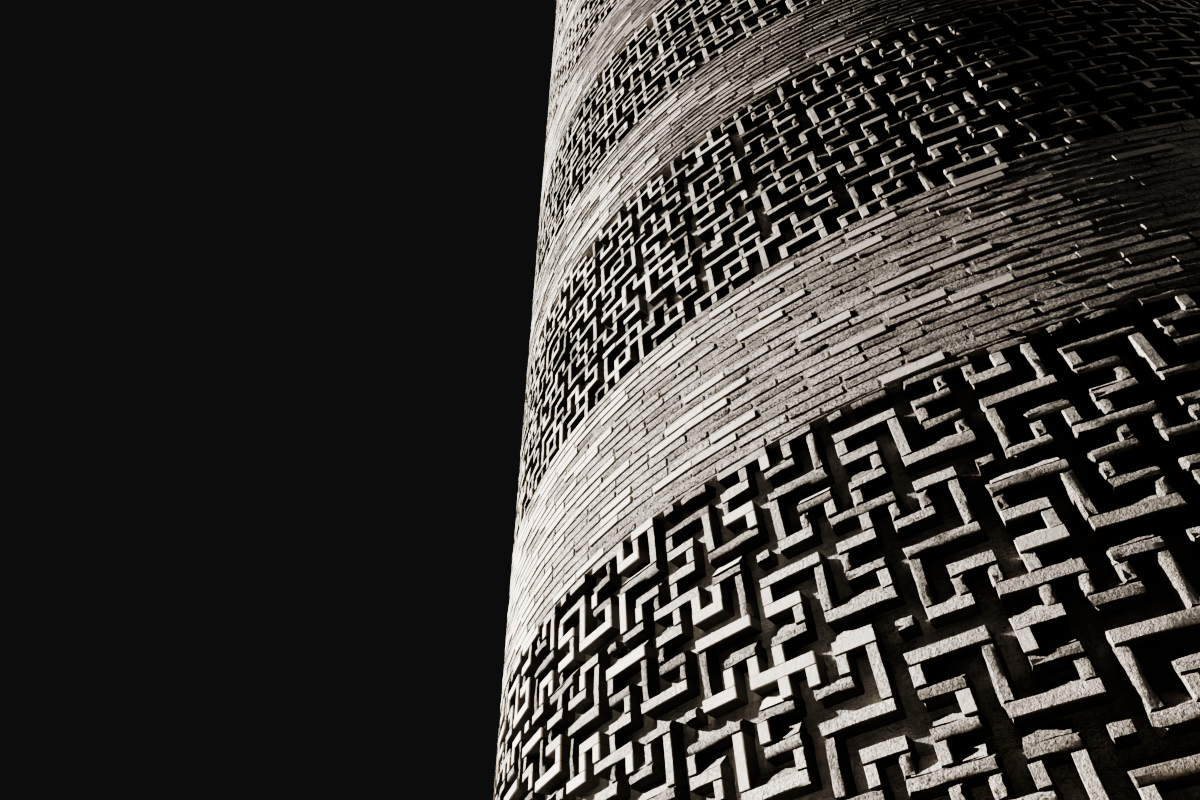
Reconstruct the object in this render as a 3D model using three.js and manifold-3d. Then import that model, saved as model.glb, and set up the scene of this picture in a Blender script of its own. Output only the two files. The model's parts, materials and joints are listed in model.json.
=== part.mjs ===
// A round brick minaret on an octagonal plinth, in millimetres, +Z up.
// The origin lies on the ground under the tower's axis. -Y is the side seen from the approach,
// and the doorway opens high on the +Y side.
import * as THREE from 'three';
import { mergeVertices } from 'three/addons/utils/BufferGeometryUtils.js';
import Module from 'manifold-3d';

const wasm = await Module();
wasm.setup();

// Brickwork
const clearance = 0.3; // gap between curved or slanting faces that would otherwise touch
const facets = 48; // flat sides round the shaft, a multiple of eight
const facingDepth = 160; // depth of the facing brick on the plain bands
const fretRecess = 90; // how far a fret band's ground lies behind the plain bands

// Podium and plinth
const podiumSide = 12300;
const podiumTop = 1000;
const plinthAcrossFlats = 9700;
const plinthTop = 2950;
const copingTop = 3100;
const copingOverhang = 70;
const nicheHalfWidth = 560;
const nicheSill = 1400;
const nicheSpring = 1900;
const nicheDepth = 280;

// Shaft
const shaftRadiusAtFoot = 4400; // at the top of the coping
const taper = 0.067; // loss of radius for each unit of height
const wellRadius = 1100;
const floorThickness = 80;

// Tops of the bands of facing brick, from the plinth's coping up
const bands = [
  ['plain_band_foot', 3250],
  ['fret_band_1', 5150],
  ['plain_band_1', 6350],
  ['fret_band_2', 8210],
  ['plain_band_2', 9250],
  ['fret_band_3', 11080],
  ['plain_band_3', 12340],
  ['fret_band_4', 14100],
  ['plain_band_4', 14770],
  ['frieze_band', 15330],
  ['plain_band_5', 15670],
  ['fret_band_5', 17450],
  ['plain_band_6', 18500],
  ['fret_band_6', 20250],
  ['plain_band_7', 21250],
];
const sillHeight = 5150; // top of the first fret band, where the doorway stands
const wallTop = 21900;

// Frets: the keys that stand out of each band's ground. A key is the middle line of its ribs, in
// columns and rows of the band's grid, with rows counted down.
const ribWidth = 50;
const ribFront = 10; // how far a key's flat front lies behind the plain bands
const ribSeat = 40; // how far a key's back lies inside the band's ground
const hookedKey = [[2, 0], [0, 0], [0, 2], [1, 2], [1, 1], [2, 1]];
const longKey = [[4, 0], [3, 0], [3, 1], [0, 1], [0, 2]];
const linkedKey = [[3, 0], [4, 0], [4, 1], [0, 1], [0, 3]];
const steppedKey = [[0, 0], [1, 0], [1, 2], [3, 2], [3, 1], [5, 1]];

// turn is the angle of the first column from -Y, towards +X. inset is the height from the band's
// edges to its first and last rows. A key stands at each of the starts, every "every" columns.
const frets = {
  fret_band_1: {
    columns: 224, rows: 14, turn: -0.342, inset: 25, key: hookedKey, starts: [[6, 2], [22, 10]], every: 32,
  },
  fret_band_2: {
    columns: 224, rows: 15, turn: -0.416, inset: -25, key: longKey, starts: [[1, 4], [17, 12]], every: 32,
  },
  fret_band_3: {
    columns: 198, rows: 16, turn: -0.288, inset: -25, key: linkedKey, starts: [[1, 8]], every: 18,
  },
  fret_band_4: {
    columns: 216, rows: 16, turn: -0.5335, inset: -25, key: steppedKey, starts: [[0, 4], [13, 10]], every: 24,
  },
  fret_band_5: {
    columns: 184, rows: 14, turn: 0, inset: 25, key: hookedKey, starts: [[6, 2]], every: 8,
  },
  fret_band_6: {
    columns: 168, rows: 15, turn: 0, inset: -25, key: linkedKey, starts: [[1, 3], [13, 9]], every: 24,
  },
};

// Doorway
const doorHalfWidth = 450;
const doorSpring = 6450;
const doorHead = 7150; // top of the vault's block
const surroundHalfWidth = 850;
const surroundTop = 7750;
const surroundProud = 50; // ahead of the plain brickwork at the sill

// Cornice and gallery
const corniceSteps = 3;
const corniceStepOut = 85;
const galleryTop = 22000;

// Lantern
const lanternRadius = 2600;
const lanternWall = 500;
const archHalfWidth = 575;
const archSpring = 23600;
const arcadeTop = 24750;
const lanternCorniceTop = 25000;
const lanternCorniceOut = 130;
const domeRadius = 2520;
const domeThickness = 350;
const domeCentreOffset = 260; // how far past the axis each side of the dome's curve is centred
const domeFlatness = 0.8; // height of the dome against that of its round curve
const domeRows = 8;
const bayCount = 8;

const archPoint = 0.35; // how far past the middle an arch's curve is centred, in half widths
const archSteps = 7;
const bay = (2 * Math.PI) / bayCount;

const facingBrick = new THREE.MeshStandardMaterial({ color: 0xb9a58a, roughness: 0.92, metalness: 0 });
const fretBrick = new THREE.MeshStandardMaterial({ color: 0xa08c72, roughness: 0.94, metalness: 0 });
const coreBrick = new THREE.MeshStandardMaterial({ color: 0x9a8468, roughness: 0.95, metalness: 0 });
const plinthBrick = new THREE.MeshStandardMaterial({ color: 0xae9a80, roughness: 0.93, metalness: 0 });
const pavingBrick = new THREE.MeshStandardMaterial({ color: 0x8f7b64, roughness: 0.9, metalness: 0 });

const shaftRadius = (height) => shaftRadiusAtFoot - taper * (height - copingTop);
const coreRadius = (height) => shaftRadius(height) - facingDepth - clearance;

// Booleans

function toSolid(geometry) {
  const bare = geometry.clone();
  bare.deleteAttribute('normal');
  bare.deleteAttribute('uv');
  const merged = mergeVertices(bare, 1e-3);
  return new wasm.Manifold(new wasm.Mesh({
    numProp: 3,
    vertProperties: new Float32Array(merged.attributes.position.array),
    triVerts: new Uint32Array(merged.index.array),
  }));
}

function toGeometry(solid) {
  const mesh = solid.getMesh();
  const geometry = new THREE.BufferGeometry();
  geometry.setAttribute('position', new THREE.BufferAttribute(new Float32Array(mesh.vertProperties), 3));
  geometry.setIndex(new THREE.BufferAttribute(new Uint32Array(mesh.triVerts), 1));
  geometry.computeVertexNormals();
  return geometry;
}

function cut(geometry, ...tools) {
  let solid = toSolid(geometry);
  for (const tool of tools) solid = solid.subtract(toSolid(tool));
  return toGeometry(solid);
}

function join(geometry, pieces) {
  let solid = toSolid(geometry);
  for (const piece of pieces) solid = solid.add(toSolid(piece));
  return toGeometry(solid);
}

function common(geometry, tool) {
  return toGeometry(toSolid(geometry).intersect(toSolid(tool)));
}

// Basic forms

// Turns an outline of [radius, height] pairs about the tower's axis, with a corner facing -Y
function turned(outline) {
  const points = outline.map(([radius, height]) => new THREE.Vector2(radius, height));
  return new THREE.LatheGeometry(points, facets).rotateX(Math.PI / 2);
}

function ring(inner, outer, bottom, top) {
  return turned([
    [inner(bottom), bottom],
    [outer(bottom), bottom],
    [outer(top), top],
    [inner(top), top],
    [inner(bottom), bottom],
  ]);
}

function upright(shape, bottom, top) {
  const settings = { depth: top - bottom, bevelEnabled: false };
  return new THREE.ExtrudeGeometry(shape, settings).translate(0, 0, bottom);
}

function block(x0, x1, y0, y1, z0, z1) {
  const geometry = new THREE.BoxGeometry(x1 - x0, y1 - y0, z1 - z0);
  return geometry.translate((x0 + x1) / 2, (y0 + y1) / 2, (z0 + z1) / 2);
}

function octagonShape(acrossFlats) {
  const corner = acrossFlats / 2 / Math.cos(bay / 2);
  const points = [];
  for (let i = 0; i < bayCount; i += 1) {
    const angle = bay * (i + 0.5);
    points.push(new THREE.Vector2(corner * Math.cos(angle), corner * Math.sin(angle)));
  }
  return new THREE.Shape(points);
}

// A pointed arch with its feet on the line at "foot", and its curves starting at "spring"
function archShape(halfWidth, foot, spring) {
  const centre = archPoint * halfWidth;
  const radius = halfWidth + centre;
  const crownAngle = Math.acos(centre / radius);
  const shape = new THREE.Shape();
  shape.moveTo(-halfWidth, foot);
  shape.lineTo(halfWidth, foot);
  shape.lineTo(halfWidth, spring);
  shape.absarc(-centre, spring, radius, 0, crownAngle, false);
  shape.absarc(centre, spring, radius, Math.PI - crownAngle, Math.PI, false);
  shape.lineTo(-halfWidth, foot);
  return shape;
}

// An arch-shaped bar along Y, from y = "near" to y = "far", turned about the tower's axis
function archBar(halfWidth, foot, spring, near, far, angle = 0) {
  const settings = { depth: far - near, bevelEnabled: false, curveSegments: archSteps };
  const geometry = new THREE.ExtrudeGeometry(archShape(halfWidth, foot, spring), settings);
  return geometry.rotateX(Math.PI / 2).translate(0, far, 0).rotateZ(angle);
}

// The plan of a piece of round wall between two angles, with its ends "gap" inside them
function sectorShape(inner, outer, start, end, gap, steps) {
  const points = [];
  for (let i = 0; i <= steps; i += 1) {
    const angle = THREE.MathUtils.lerp(start + gap(outer), end - gap(outer), i / steps);
    points.push(new THREE.Vector2(outer * Math.cos(angle), outer * Math.sin(angle)));
  }
  for (let i = steps; i >= 0; i -= 1) {
    const angle = THREE.MathUtils.lerp(start + gap(inner), end - gap(inner), i / steps);
    points.push(new THREE.Vector2(inner * Math.cos(angle), inner * Math.sin(angle)));
  }
  return new THREE.Shape(points);
}

// One eighth of the shaft's wall: its inner face upright, its outer face leaning in with the taper
function wallSegment(index, bottom, top) {
  const gap = (radius) => clearance / 2 / radius;
  const start = bay * index;
  const steps = facets / bayCount;
  const outer = coreRadius(bottom);
  const geometry = upright(sectorShape(wellRadius, outer, start, start + bay, gap, steps), bottom, top);
  const lean = coreRadius(top) / outer;
  const place = geometry.attributes.position;
  for (let i = 0; i < place.count; i += 1) {
    const radius = Math.hypot(place.getX(i), place.getY(i));
    const atTop = place.getZ(i) > (bottom + top) / 2;
    if (atTop && radius > (wellRadius + outer) / 2) {
      place.setX(i, place.getX(i) * lean);
      place.setY(i, place.getY(i) * lean);
    }
  }
  return geometry;
}

// The outline of a key: its middle line, widened to both sides by half a rib
function keyShape(line) {
  const half = ribWidth / 2;
  const points = line.map(([x, y]) => new THREE.Vector2(x, y));
  const ways = points.slice(1).map((point, i) => point.clone().sub(points[i]).normalize());
  const side = (sign) => points.map((point, i) => {
    const before = ways[i - 1] ?? ways[0];
    const after = ways[i] ?? before;
    const across = new THREE.Vector2(-before.y, before.x);
    if (ways[i - 1] && ways[i]) across.add(new THREE.Vector2(-after.y, after.x));
    const past = ways[i - 1] ? Number(!ways[i]) : -1;
    return point.clone().addScaledVector(across, sign * half).addScaledVector(before, past * half);
  });
  return new THREE.Shape([...side(1), ...side(-1).reverse()]);
}

// One key of a fret, flat in front and leaning in with the shaft
function keyBlock(fret, column, row, bottom, top) {
  const cellHeight = (top - bottom - 2 * fret.inset) / fret.rows;
  const width = Math.max(...fret.key.map(([across]) => across));
  const depth = Math.max(...fret.key.map(([, down]) => down));
  const height = top - fret.inset - (row + depth / 2) * cellHeight;
  const radius = shaftRadius(height);
  const columnAngle = (2 * Math.PI) / fret.columns;
  const line = fret.key.map(([across, down]) => [
    (across - width / 2) * columnAngle * radius, (depth / 2 - down) * cellHeight,
  ]);
  const settings = { depth: fretRecess + ribSeat - ribFront, bevelEnabled: false };
  const geometry = new THREE.ExtrudeGeometry(keyShape(line), settings);
  const angle = fret.turn + (column + width / 2) * columnAngle;
  return geometry.rotateX(Math.PI / 2 - Math.atan(taper))
    .translate(0, fretRecess + ribSeat - radius, height).rotateZ(angle);
}

function keyBlocks(fret, bottom, top) {
  const blocks = [];
  fret.starts.forEach(([start, row]) => {
    for (let column = start; column < start + fret.columns; column += fret.every) {
      blocks.push(keyBlock(fret, column, row, bottom, top));
    }
  });
  return blocks;
}

// Assembly

const minaret = new THREE.Group();

function add(name, geometry, material) {
  const mesh = new THREE.Mesh(geometry, material);
  mesh.name = name;
  minaret.add(mesh);
}

// Podium and plinth
const podiumHalf = podiumSide / 2;
add('podium', block(-podiumHalf, podiumHalf, -podiumHalf, podiumHalf, 0, podiumTop), plinthBrick);

const plinthFace = plinthAcrossFlats / 2;
const niches = Array.from({ length: bayCount }, (_, i) => archBar(
  nicheHalfWidth, nicheSill, nicheSpring, plinthFace - nicheDepth, plinthFace + nicheDepth, bay * i,
));
add('plinth', cut(upright(octagonShape(plinthAcrossFlats), podiumTop, plinthTop), ...niches), plinthBrick);
const copingAcrossFlats = plinthAcrossFlats + 2 * copingOverhang;
add('plinth_coping', upright(octagonShape(copingAcrossFlats), plinthTop, copingTop), plinthBrick);

// Solid foot of the shaft, up to the doorway's sill
add('shaft_foot', turned([
  [0, copingTop],
  [coreRadius(copingTop), copingTop],
  [coreRadius(sillHeight), sillHeight],
  [0, sillHeight],
]), coreBrick);

// Hollow wall of the shaft. The two segments beside +Y stand on the doorway's jambs and vault.
const doorBlock = block(-doorHalfWidth, doorHalfWidth, 0, shaftRadiusAtFoot, sillHeight, doorHead);
const doorSegments = { 1: 'east', 2: 'west' };
for (let i = 0; i < bayCount; i += 1) {
  const side = doorSegments[i];
  if (side) {
    add(`door_jamb_${side}`, cut(wallSegment(i, sillHeight, doorHead), doorBlock), coreBrick);
  }
  add(`shaft_wall_${i + 1}`, wallSegment(i, side ? doorHead : sillHeight, wallTop), coreBrick);
}

const vaultHalfWidth = doorHalfWidth - clearance;
const passage = (near, far) => archBar(doorHalfWidth, sillHeight - 1, doorSpring, near, far);
const vaultBlock = block(-vaultHalfWidth, vaultHalfWidth, 0, shaftRadiusAtFoot, doorSpring, doorHead);
const vaultRing = ring(() => wellRadius, coreRadius, doorSpring, doorHead);
add('doorway_vault', cut(common(vaultRing, vaultBlock), passage(0, shaftRadiusAtFoot)), coreBrick);

// Floor of the well, running out through the doorway to the face of the wall
const passageEnd = coreRadius(sillHeight + floorThickness) - clearance;
const floorRadius = wellRadius - clearance;
const turnIn = Math.acos(vaultHalfWidth / floorRadius);
const floorShape = new THREE.Shape();
floorShape.moveTo(vaultHalfWidth, passageEnd);
floorShape.lineTo(-vaultHalfWidth, passageEnd);
floorShape.absarc(0, 0, floorRadius * Math.cos(bay / 8), Math.PI - turnIn, 2 * Math.PI + turnIn, false);
add('well_floor', upright(floorShape, sillHeight, sillHeight + floorThickness), pavingBrick);

// Brick surround of the doorway
const surroundFront = shaftRadius(sillHeight) + surroundProud;
const surroundRing = ring(
  (height) => shaftRadius(height) - facingDepth, () => shaftRadiusAtFoot + 1000, sillHeight, surroundTop,
);
const surroundBlock = block(
  -surroundHalfWidth, surroundHalfWidth, 0, surroundFront, sillHeight, surroundTop,
);
const surround = cut(common(surroundRing, surroundBlock), passage(0, shaftRadiusAtFoot + 1000));
add('door_surround', surround, facingBrick);

// Bands of facing brick
const doorGap = block(
  -surroundHalfWidth - clearance, surroundHalfWidth + clearance,
  0, shaftRadiusAtFoot + 1000, sillHeight - 1, surroundTop + clearance,
);
let bandBottom = copingTop;
for (const [name, bandTop] of bands) {
  const recess = name.startsWith('plain') ? 0 : fretRecess;
  const inner = (height) => shaftRadius(height) - facingDepth;
  const outer = (height) => shaftRadius(height) - recess;
  let band = ring(inner, outer, bandBottom, bandTop);
  if (frets[name]) band = join(band, keyBlocks(frets[name], bandBottom, bandTop));
  if (bandTop > sillHeight && bandBottom < surroundTop) band = cut(band, doorGap);
  add(name, band, recess ? fretBrick : facingBrick);
  bandBottom = bandTop;
}

// Cornice, stepping out under the gallery's floor
const corniceStep = (wallTop - bandBottom) / corniceSteps;
const corniceOutline = [[shaftRadius(bandBottom) - facingDepth, bandBottom]];
let corniceRadius = shaftRadius(bandBottom);
for (let i = 0; i < corniceSteps; i += 1) {
  corniceRadius += corniceStepOut;
  corniceOutline.push([corniceRadius, bandBottom + corniceStep * i]);
  corniceOutline.push([corniceRadius, bandBottom + corniceStep * (i + 1)]);
}
corniceOutline.push([shaftRadius(wallTop) - facingDepth, wallTop]);
corniceOutline.push(corniceOutline[0]);
add('cornice', turned(corniceOutline), facingBrick);

const constant = (value) => () => value;
const galleryRadius = corniceRadius + corniceStepOut / 2;
add('gallery_floor', ring(
  constant(wellRadius), constant(galleryRadius), wallTop, galleryTop,
), pavingBrick);

// Lantern
const lanternInner = lanternRadius - lanternWall;
const jambAngle = (radius) => Math.asin(archHalfWidth / radius);
for (let i = 0; i < bayCount; i += 1) {
  const plan = sectorShape(lanternInner, lanternRadius, bay * i, bay * (i + 1), jambAngle, 3);
  add(`lantern_pier_${i + 1}`, upright(plan, galleryTop, archSpring), facingBrick);
}
const arcade = ring(constant(lanternInner), constant(lanternRadius), archSpring, arcadeTop);
const arches = Array.from({ length: bayCount / 2 }, (_, i) => archBar(
  archHalfWidth, galleryTop, archSpring, -2 * lanternRadius, 2 * lanternRadius, bay * i,
));
add('lantern_arcade', cut(arcade, ...arches), facingBrick);
add('lantern_cornice', ring(
  constant(lanternInner), constant(lanternRadius + lanternCorniceOut), arcadeTop, lanternCorniceTop,
), facingBrick);

function domeCurve(radius) {
  const reach = Math.acos(domeCentreOffset / (radius + domeCentreOffset));
  return Array.from({ length: domeRows + 1 }, (_, i) => {
    const angle = (reach * i) / domeRows;
    const across = (radius + domeCentreOffset) * Math.cos(angle) - domeCentreOffset;
    const height = domeFlatness * (radius + domeCentreOffset) * Math.sin(angle);
    return [i === domeRows ? 0 : across, lanternCorniceTop + height];
  });
}
const domeInside = domeCurve(domeRadius - domeThickness).reverse();
add('dome', turned([...domeInside, ...domeCurve(domeRadius)]), facingBrick);

export default minaret;
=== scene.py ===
"""A round brick minaret: bands of raised fret between plain bands, on an octagonal plinth.

Metres, +Z up, with the origin on the ground under the tower's axis. Angles round the tower
start at -Y and grow towards +X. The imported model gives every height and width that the
dressing needs, and the classes below lay the bricks on it and give each surface its finish.
"""

import json
import logging
import math
import random
from collections.abc import Iterator
from dataclasses import dataclass, field
from enum import Enum

import bmesh
import bpy
from mathutils import Matrix, Vector, noise

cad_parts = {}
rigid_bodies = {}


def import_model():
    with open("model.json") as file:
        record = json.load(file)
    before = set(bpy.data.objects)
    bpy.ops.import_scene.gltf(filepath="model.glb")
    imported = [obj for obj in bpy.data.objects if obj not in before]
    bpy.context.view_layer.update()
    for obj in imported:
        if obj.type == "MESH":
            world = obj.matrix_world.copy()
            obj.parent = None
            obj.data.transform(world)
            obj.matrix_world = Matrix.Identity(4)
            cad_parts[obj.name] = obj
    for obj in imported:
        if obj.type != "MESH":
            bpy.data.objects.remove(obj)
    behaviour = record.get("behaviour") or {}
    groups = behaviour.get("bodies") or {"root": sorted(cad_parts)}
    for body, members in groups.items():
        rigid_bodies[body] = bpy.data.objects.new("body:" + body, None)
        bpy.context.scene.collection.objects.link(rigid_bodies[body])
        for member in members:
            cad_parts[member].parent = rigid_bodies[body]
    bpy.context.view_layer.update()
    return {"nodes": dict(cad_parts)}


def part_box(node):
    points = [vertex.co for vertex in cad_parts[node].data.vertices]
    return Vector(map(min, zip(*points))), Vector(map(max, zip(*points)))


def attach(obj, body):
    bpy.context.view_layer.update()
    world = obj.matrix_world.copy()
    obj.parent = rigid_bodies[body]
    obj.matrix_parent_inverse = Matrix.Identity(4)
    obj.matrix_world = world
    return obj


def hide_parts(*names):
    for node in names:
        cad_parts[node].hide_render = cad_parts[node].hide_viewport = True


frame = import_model()

log = logging.getLogger("minaret")

Colour = tuple[float, float, float]
Interval = tuple[float, float]

ROOT = "root"
FULL_TURN = 2 * math.pi
SEED = 1127
DECAY_SEEDS = 97
ARCH_POINT = 0.35
PAVING_EDGE = 0.04


class Wear(Enum):
    """How far weather has eaten a brick."""

    CRISP = "crisp"
    WORN = "worn"
    EATEN = "eaten"


class Kind(Enum):
    """The bricks that the tower is laid from, named for how they lie, and the mortar on its ribs."""

    STRETCHER = "stretcher"
    RIB = "rib"
    RIB_STUB = "rib_stub"
    POST = "post"
    POST_STUB = "post_stub"
    SOLDIER = "soldier"
    SLAB = "slab"
    FILLET = "fillet"


# Node trees


def find_socket(sockets: bpy.types.bpy_prop_collection, key: str | int) -> bpy.types.NodeSocket:
    """Finds a socket by its identifier, its name or its place.

    Args:
        sockets: The inputs or outputs of a node.
        key: The identifier, the name or the index.

    Returns:
        The socket.
    """
    if isinstance(key, int):
        return sockets[key]
    for socket in sockets:
        if socket.identifier == key:
            return socket
    return sockets[key]


class Wire:
    """A number in a material's tree, which sums written in Python extend with Math nodes."""

    def __init__(self, bench: "Bench", socket: bpy.types.NodeSocket) -> None:
        """Keeps the socket that gives the number.

        Args:
            bench: The tree that the socket belongs to.
            socket: The output that holds the number.
        """
        self.bench = bench
        self.socket = socket

    def __add__(self, other: "Wire | float") -> "Wire":
        """The sum."""
        return self.bench.calculate("ADD", self, other)

    def __radd__(self, other: float) -> "Wire":
        """The sum, with a plain number first."""
        return self.bench.calculate("ADD", other, self)

    def __sub__(self, other: "Wire | float") -> "Wire":
        """The difference."""
        return self.bench.calculate("SUBTRACT", self, other)

    def __rsub__(self, other: float) -> "Wire":
        """The difference from a plain number."""
        return self.bench.calculate("SUBTRACT", other, self)

    def __mul__(self, other: "Wire | float") -> "Wire":
        """The product."""
        return self.bench.calculate("MULTIPLY", self, other)

    def __rmul__(self, other: float) -> "Wire":
        """The product, with a plain number first."""
        return self.bench.calculate("MULTIPLY", other, self)

    def __truediv__(self, other: "Wire | float") -> "Wire":
        """The quotient."""
        return self.bench.calculate("DIVIDE", self, other)

    def step(self, low: float, high: float) -> "Wire":
        """A smooth rise from 0 at low to 1 at high.

        Args:
            low: Where the rise starts.
            high: Where it ends, which may be below low for a fall.

        Returns:
            The number between 0 and 1.
        """
        settings = {"interpolation_type": "SMOOTHSTEP"}
        inputs = {"Value": self, "From Min": low, "From Max": high}
        if high < low:
            inputs = {"Value": self, "From Min": high, "From Max": low, "To Min": 1.0, "To Max": 0.0}
        return self.bench.wire("ShaderNodeMapRange", settings, inputs)


class Bench:
    """Builds one node tree, a material's or a geometry tree."""

    def __init__(self, tree: bpy.types.NodeTree) -> None:
        """Keeps the tree to build in."""
        self.tree = tree

    def add(self, kind: str, settings: dict | None = None, inputs: dict | None = None) -> bpy.types.Node:
        """Adds a node.

        Args:
            kind: The node's type.
            settings: Its own settings, which are set before its sockets.
            inputs: A value, socket or wire for each socket, by identifier, name or place.

        Returns:
            The node.
        """
        node = self.tree.nodes.new(kind)
        for name, value in (settings or {}).items():
            setattr(node, name, value)
        for key, value in (inputs or {}).items():
            socket = find_socket(node.inputs, key)
            if isinstance(value, Wire):
                self.tree.links.new(value.socket, socket)
            elif isinstance(value, bpy.types.NodeSocket):
                self.tree.links.new(value, socket)
            else:
                socket.default_value = value
        return node

    def wire(self, kind: str, settings: dict | None = None, inputs: dict | None = None,
             outlet: str | int = 0) -> Wire:
        """Adds a node and returns one of its outputs as a wire."""
        node = self.add(kind, settings, inputs)
        return Wire(self, find_socket(node.outputs, outlet))

    def calculate(self, operation: str, *values: Wire | float) -> Wire:
        """Adds a Math node for an operation on the values, in their order, and returns its result."""
        return self.wire("ShaderNodeMath", {"operation": operation}, dict(enumerate(values)))

    def parts(self, vector: Wire) -> tuple[Wire, Wire, Wire]:
        """Splits a vector into its x, y and z."""
        node = self.add("ShaderNodeSeparateXYZ", {}, {"Vector": vector})
        return Wire(self, node.outputs["X"]), Wire(self, node.outputs["Y"]), Wire(self, node.outputs["Z"])

    def facing(self) -> tuple[Wire, Wire, Wire]:
        """The x, y and z of the way that the surface faces."""
        return self.parts(self.wire("ShaderNodeNewGeometry", {}, {}, "Normal"))

    def attribute(self, name: str) -> Wire:
        """Reads a number that each brick carries."""
        return self.wire("ShaderNodeAttribute", {"attribute_name": name}, {}, "Fac")

    def mix(self, factor: Wire | float, first: Wire | Colour, second: Wire | Colour) -> Wire:
        """Mixes two colours.

        Args:
            factor: 0 for the first colour, 1 for the second.
            first: A colour, or the wire of one.
            second: A colour, or the wire of one.

        Returns:
            The mixed colour.
        """
        inputs = {"Factor_Float": factor}
        for key, colour in (("A_Color", first), ("B_Color", second)):
            inputs[key] = colour if isinstance(colour, Wire) else (*colour, 1.0)
        return self.wire("ShaderNodeMix", {"data_type": "RGBA"}, inputs, "Result_Color")

    def noise(self, point: Wire, scale: float, detail: float = 3.0, roughness: float = 0.55) -> Wire:
        """Cloudy noise between 0 and 1 over the object's own coordinates."""
        inputs = {"Vector": point, "Scale": scale, "Detail": detail, "Roughness": roughness}
        return self.wire("ShaderNodeTexNoise", {"noise_dimensions": "3D"}, inputs, "Fac")


# Finishes


@dataclass(frozen=True)
class Finish:
    """What every finish shares: a name, and a matt principled shader with bump."""

    name: str

    def surface(self, bench: Bench, point: Wire) -> tuple[Wire, Wire, Wire]:
        """The colour, roughness and height in metres, which each finish gives in its own way."""
        raise NotImplementedError

    def material(self) -> bpy.types.Material:
        """Makes the material, or finds it if it has been made.

        Returns:
            The material.
        """
        made = bpy.data.materials.get(self.name)
        if made:
            return made
        made = bpy.data.materials.new(self.name)
        made.use_nodes = True
        made.node_tree.nodes.clear()
        bench = Bench(made.node_tree)
        point = bench.wire("ShaderNodeTexCoord", {}, {}, "Object")
        colour, roughness, height = self.surface(bench, point)
        relief = {"Strength": 1.0, "Distance": 1.0, "Height": height}
        normal = bench.wire("ShaderNodeBump", {}, relief, "Normal")
        shader = {"Base Color": colour, "Roughness": roughness, "Normal": normal, "Specular IOR Level": 0.2}
        skin = bench.add("ShaderNodeBsdfPrincipled", {}, shader)
        bench.add("ShaderNodeOutputMaterial", {}, {"Surface": skin.outputs["BSDF"]})
        return made


def from_axis(x: Wire, y: Wire) -> Wire:
    """How far a place is from the tower's axis, from its x and y."""
    return x.bench.calculate("SQRT", x * x + y * y)


@dataclass(frozen=True)
class SideShade:
    """A darkening painted on one side of the tower: painted shade on the side turned away from the key light,
    or a toning down of the key light on the side that it strikes full.

    Its middle is given as shares of +X and +Y. Its edge is the cosine of the angle from there,
    where it starts and where it is full. It comes in between the two radii of the fade, so that
    it has no seam at the top of the dome. The front is the two places on Y between which a
    darkening of the front alone comes in.
    """

    middle: tuple[float, float]
    edge: Interval
    fade: Interval = (1.2, 2.6)
    front: Interval = (-0.9, -2.2)

    def share(self, bench: Bench, point: Wire) -> Wire:
        """Works out the painted darkening at a point.

        Args:
            bench: The material's tree.
            point: Where on the tower it is read.

        Returns:
            The share of stain.
        """
        x, y, _ = bench.parts(point)
        out = from_axis(x, y)
        towards = (x * self.middle[0] + y * self.middle[1]) / out
        return towards.step(*self.edge) * out.step(*self.fade)

    def share_in_front(self, bench: Bench, point: Wire) -> Wire:
        """The share of painted darkening at a point, with none on the tower's back."""
        _, y, _ = bench.parts(point)
        return self.share(bench, point) * y.step(*self.front)


# The first darkens the side that the key light strikes full, toning its light down; the second is painted
# shade on the side turned away from the key light.
KEY_SIDE_SHADE = SideShade(middle=(-0.94, 0.342), edge=(0.52, 0.80))
LEE_SIDE_SHADE = SideShade(middle=(1.0, 0.0), edge=(-0.22, 0.12))


@dataclass(frozen=True)
class Recess:
    """Painted shade under the ribs of a fret and on their sides that face the way of growing angle,
    which at the front are those turned away from the key light, growing with depth behind the
    leaning face.

    The last two fields are how far a face turns that way, or down, where the painted shade starts
    and where it is full.
    """

    foot_height: float
    foot_radius: float
    taper: float
    shade_start_depth: float = 0.001
    shade_full_depth: float = 0.012
    lee: Interval = (0.35, 0.75)
    under: Interval = (-0.35, -0.75)

    def painted_shade(self, bench: Bench, point: Wire) -> Wire:
        """Works out the painted shade at a point.

        Args:
            bench: The material's tree.
            point: Where on the tower it is read.

        Returns:
            The share of dirt.
        """
        x, y, z = bench.parts(point)
        across, along, up = bench.facing()
        out = from_axis(x, y)
        depth = self.foot_radius + self.taper * self.foot_height - self.taper * z - out
        lee = ((x * along - y * across) / out).step(*self.lee)
        # Painted shade: darker with depth behind the face, on sides that face the way of growing angle and on
        # faces turned down.
        return depth.step(self.shade_start_depth, self.shade_full_depth) * bench.calculate("MAXIMUM", lee, up.step(*self.under))


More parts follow.
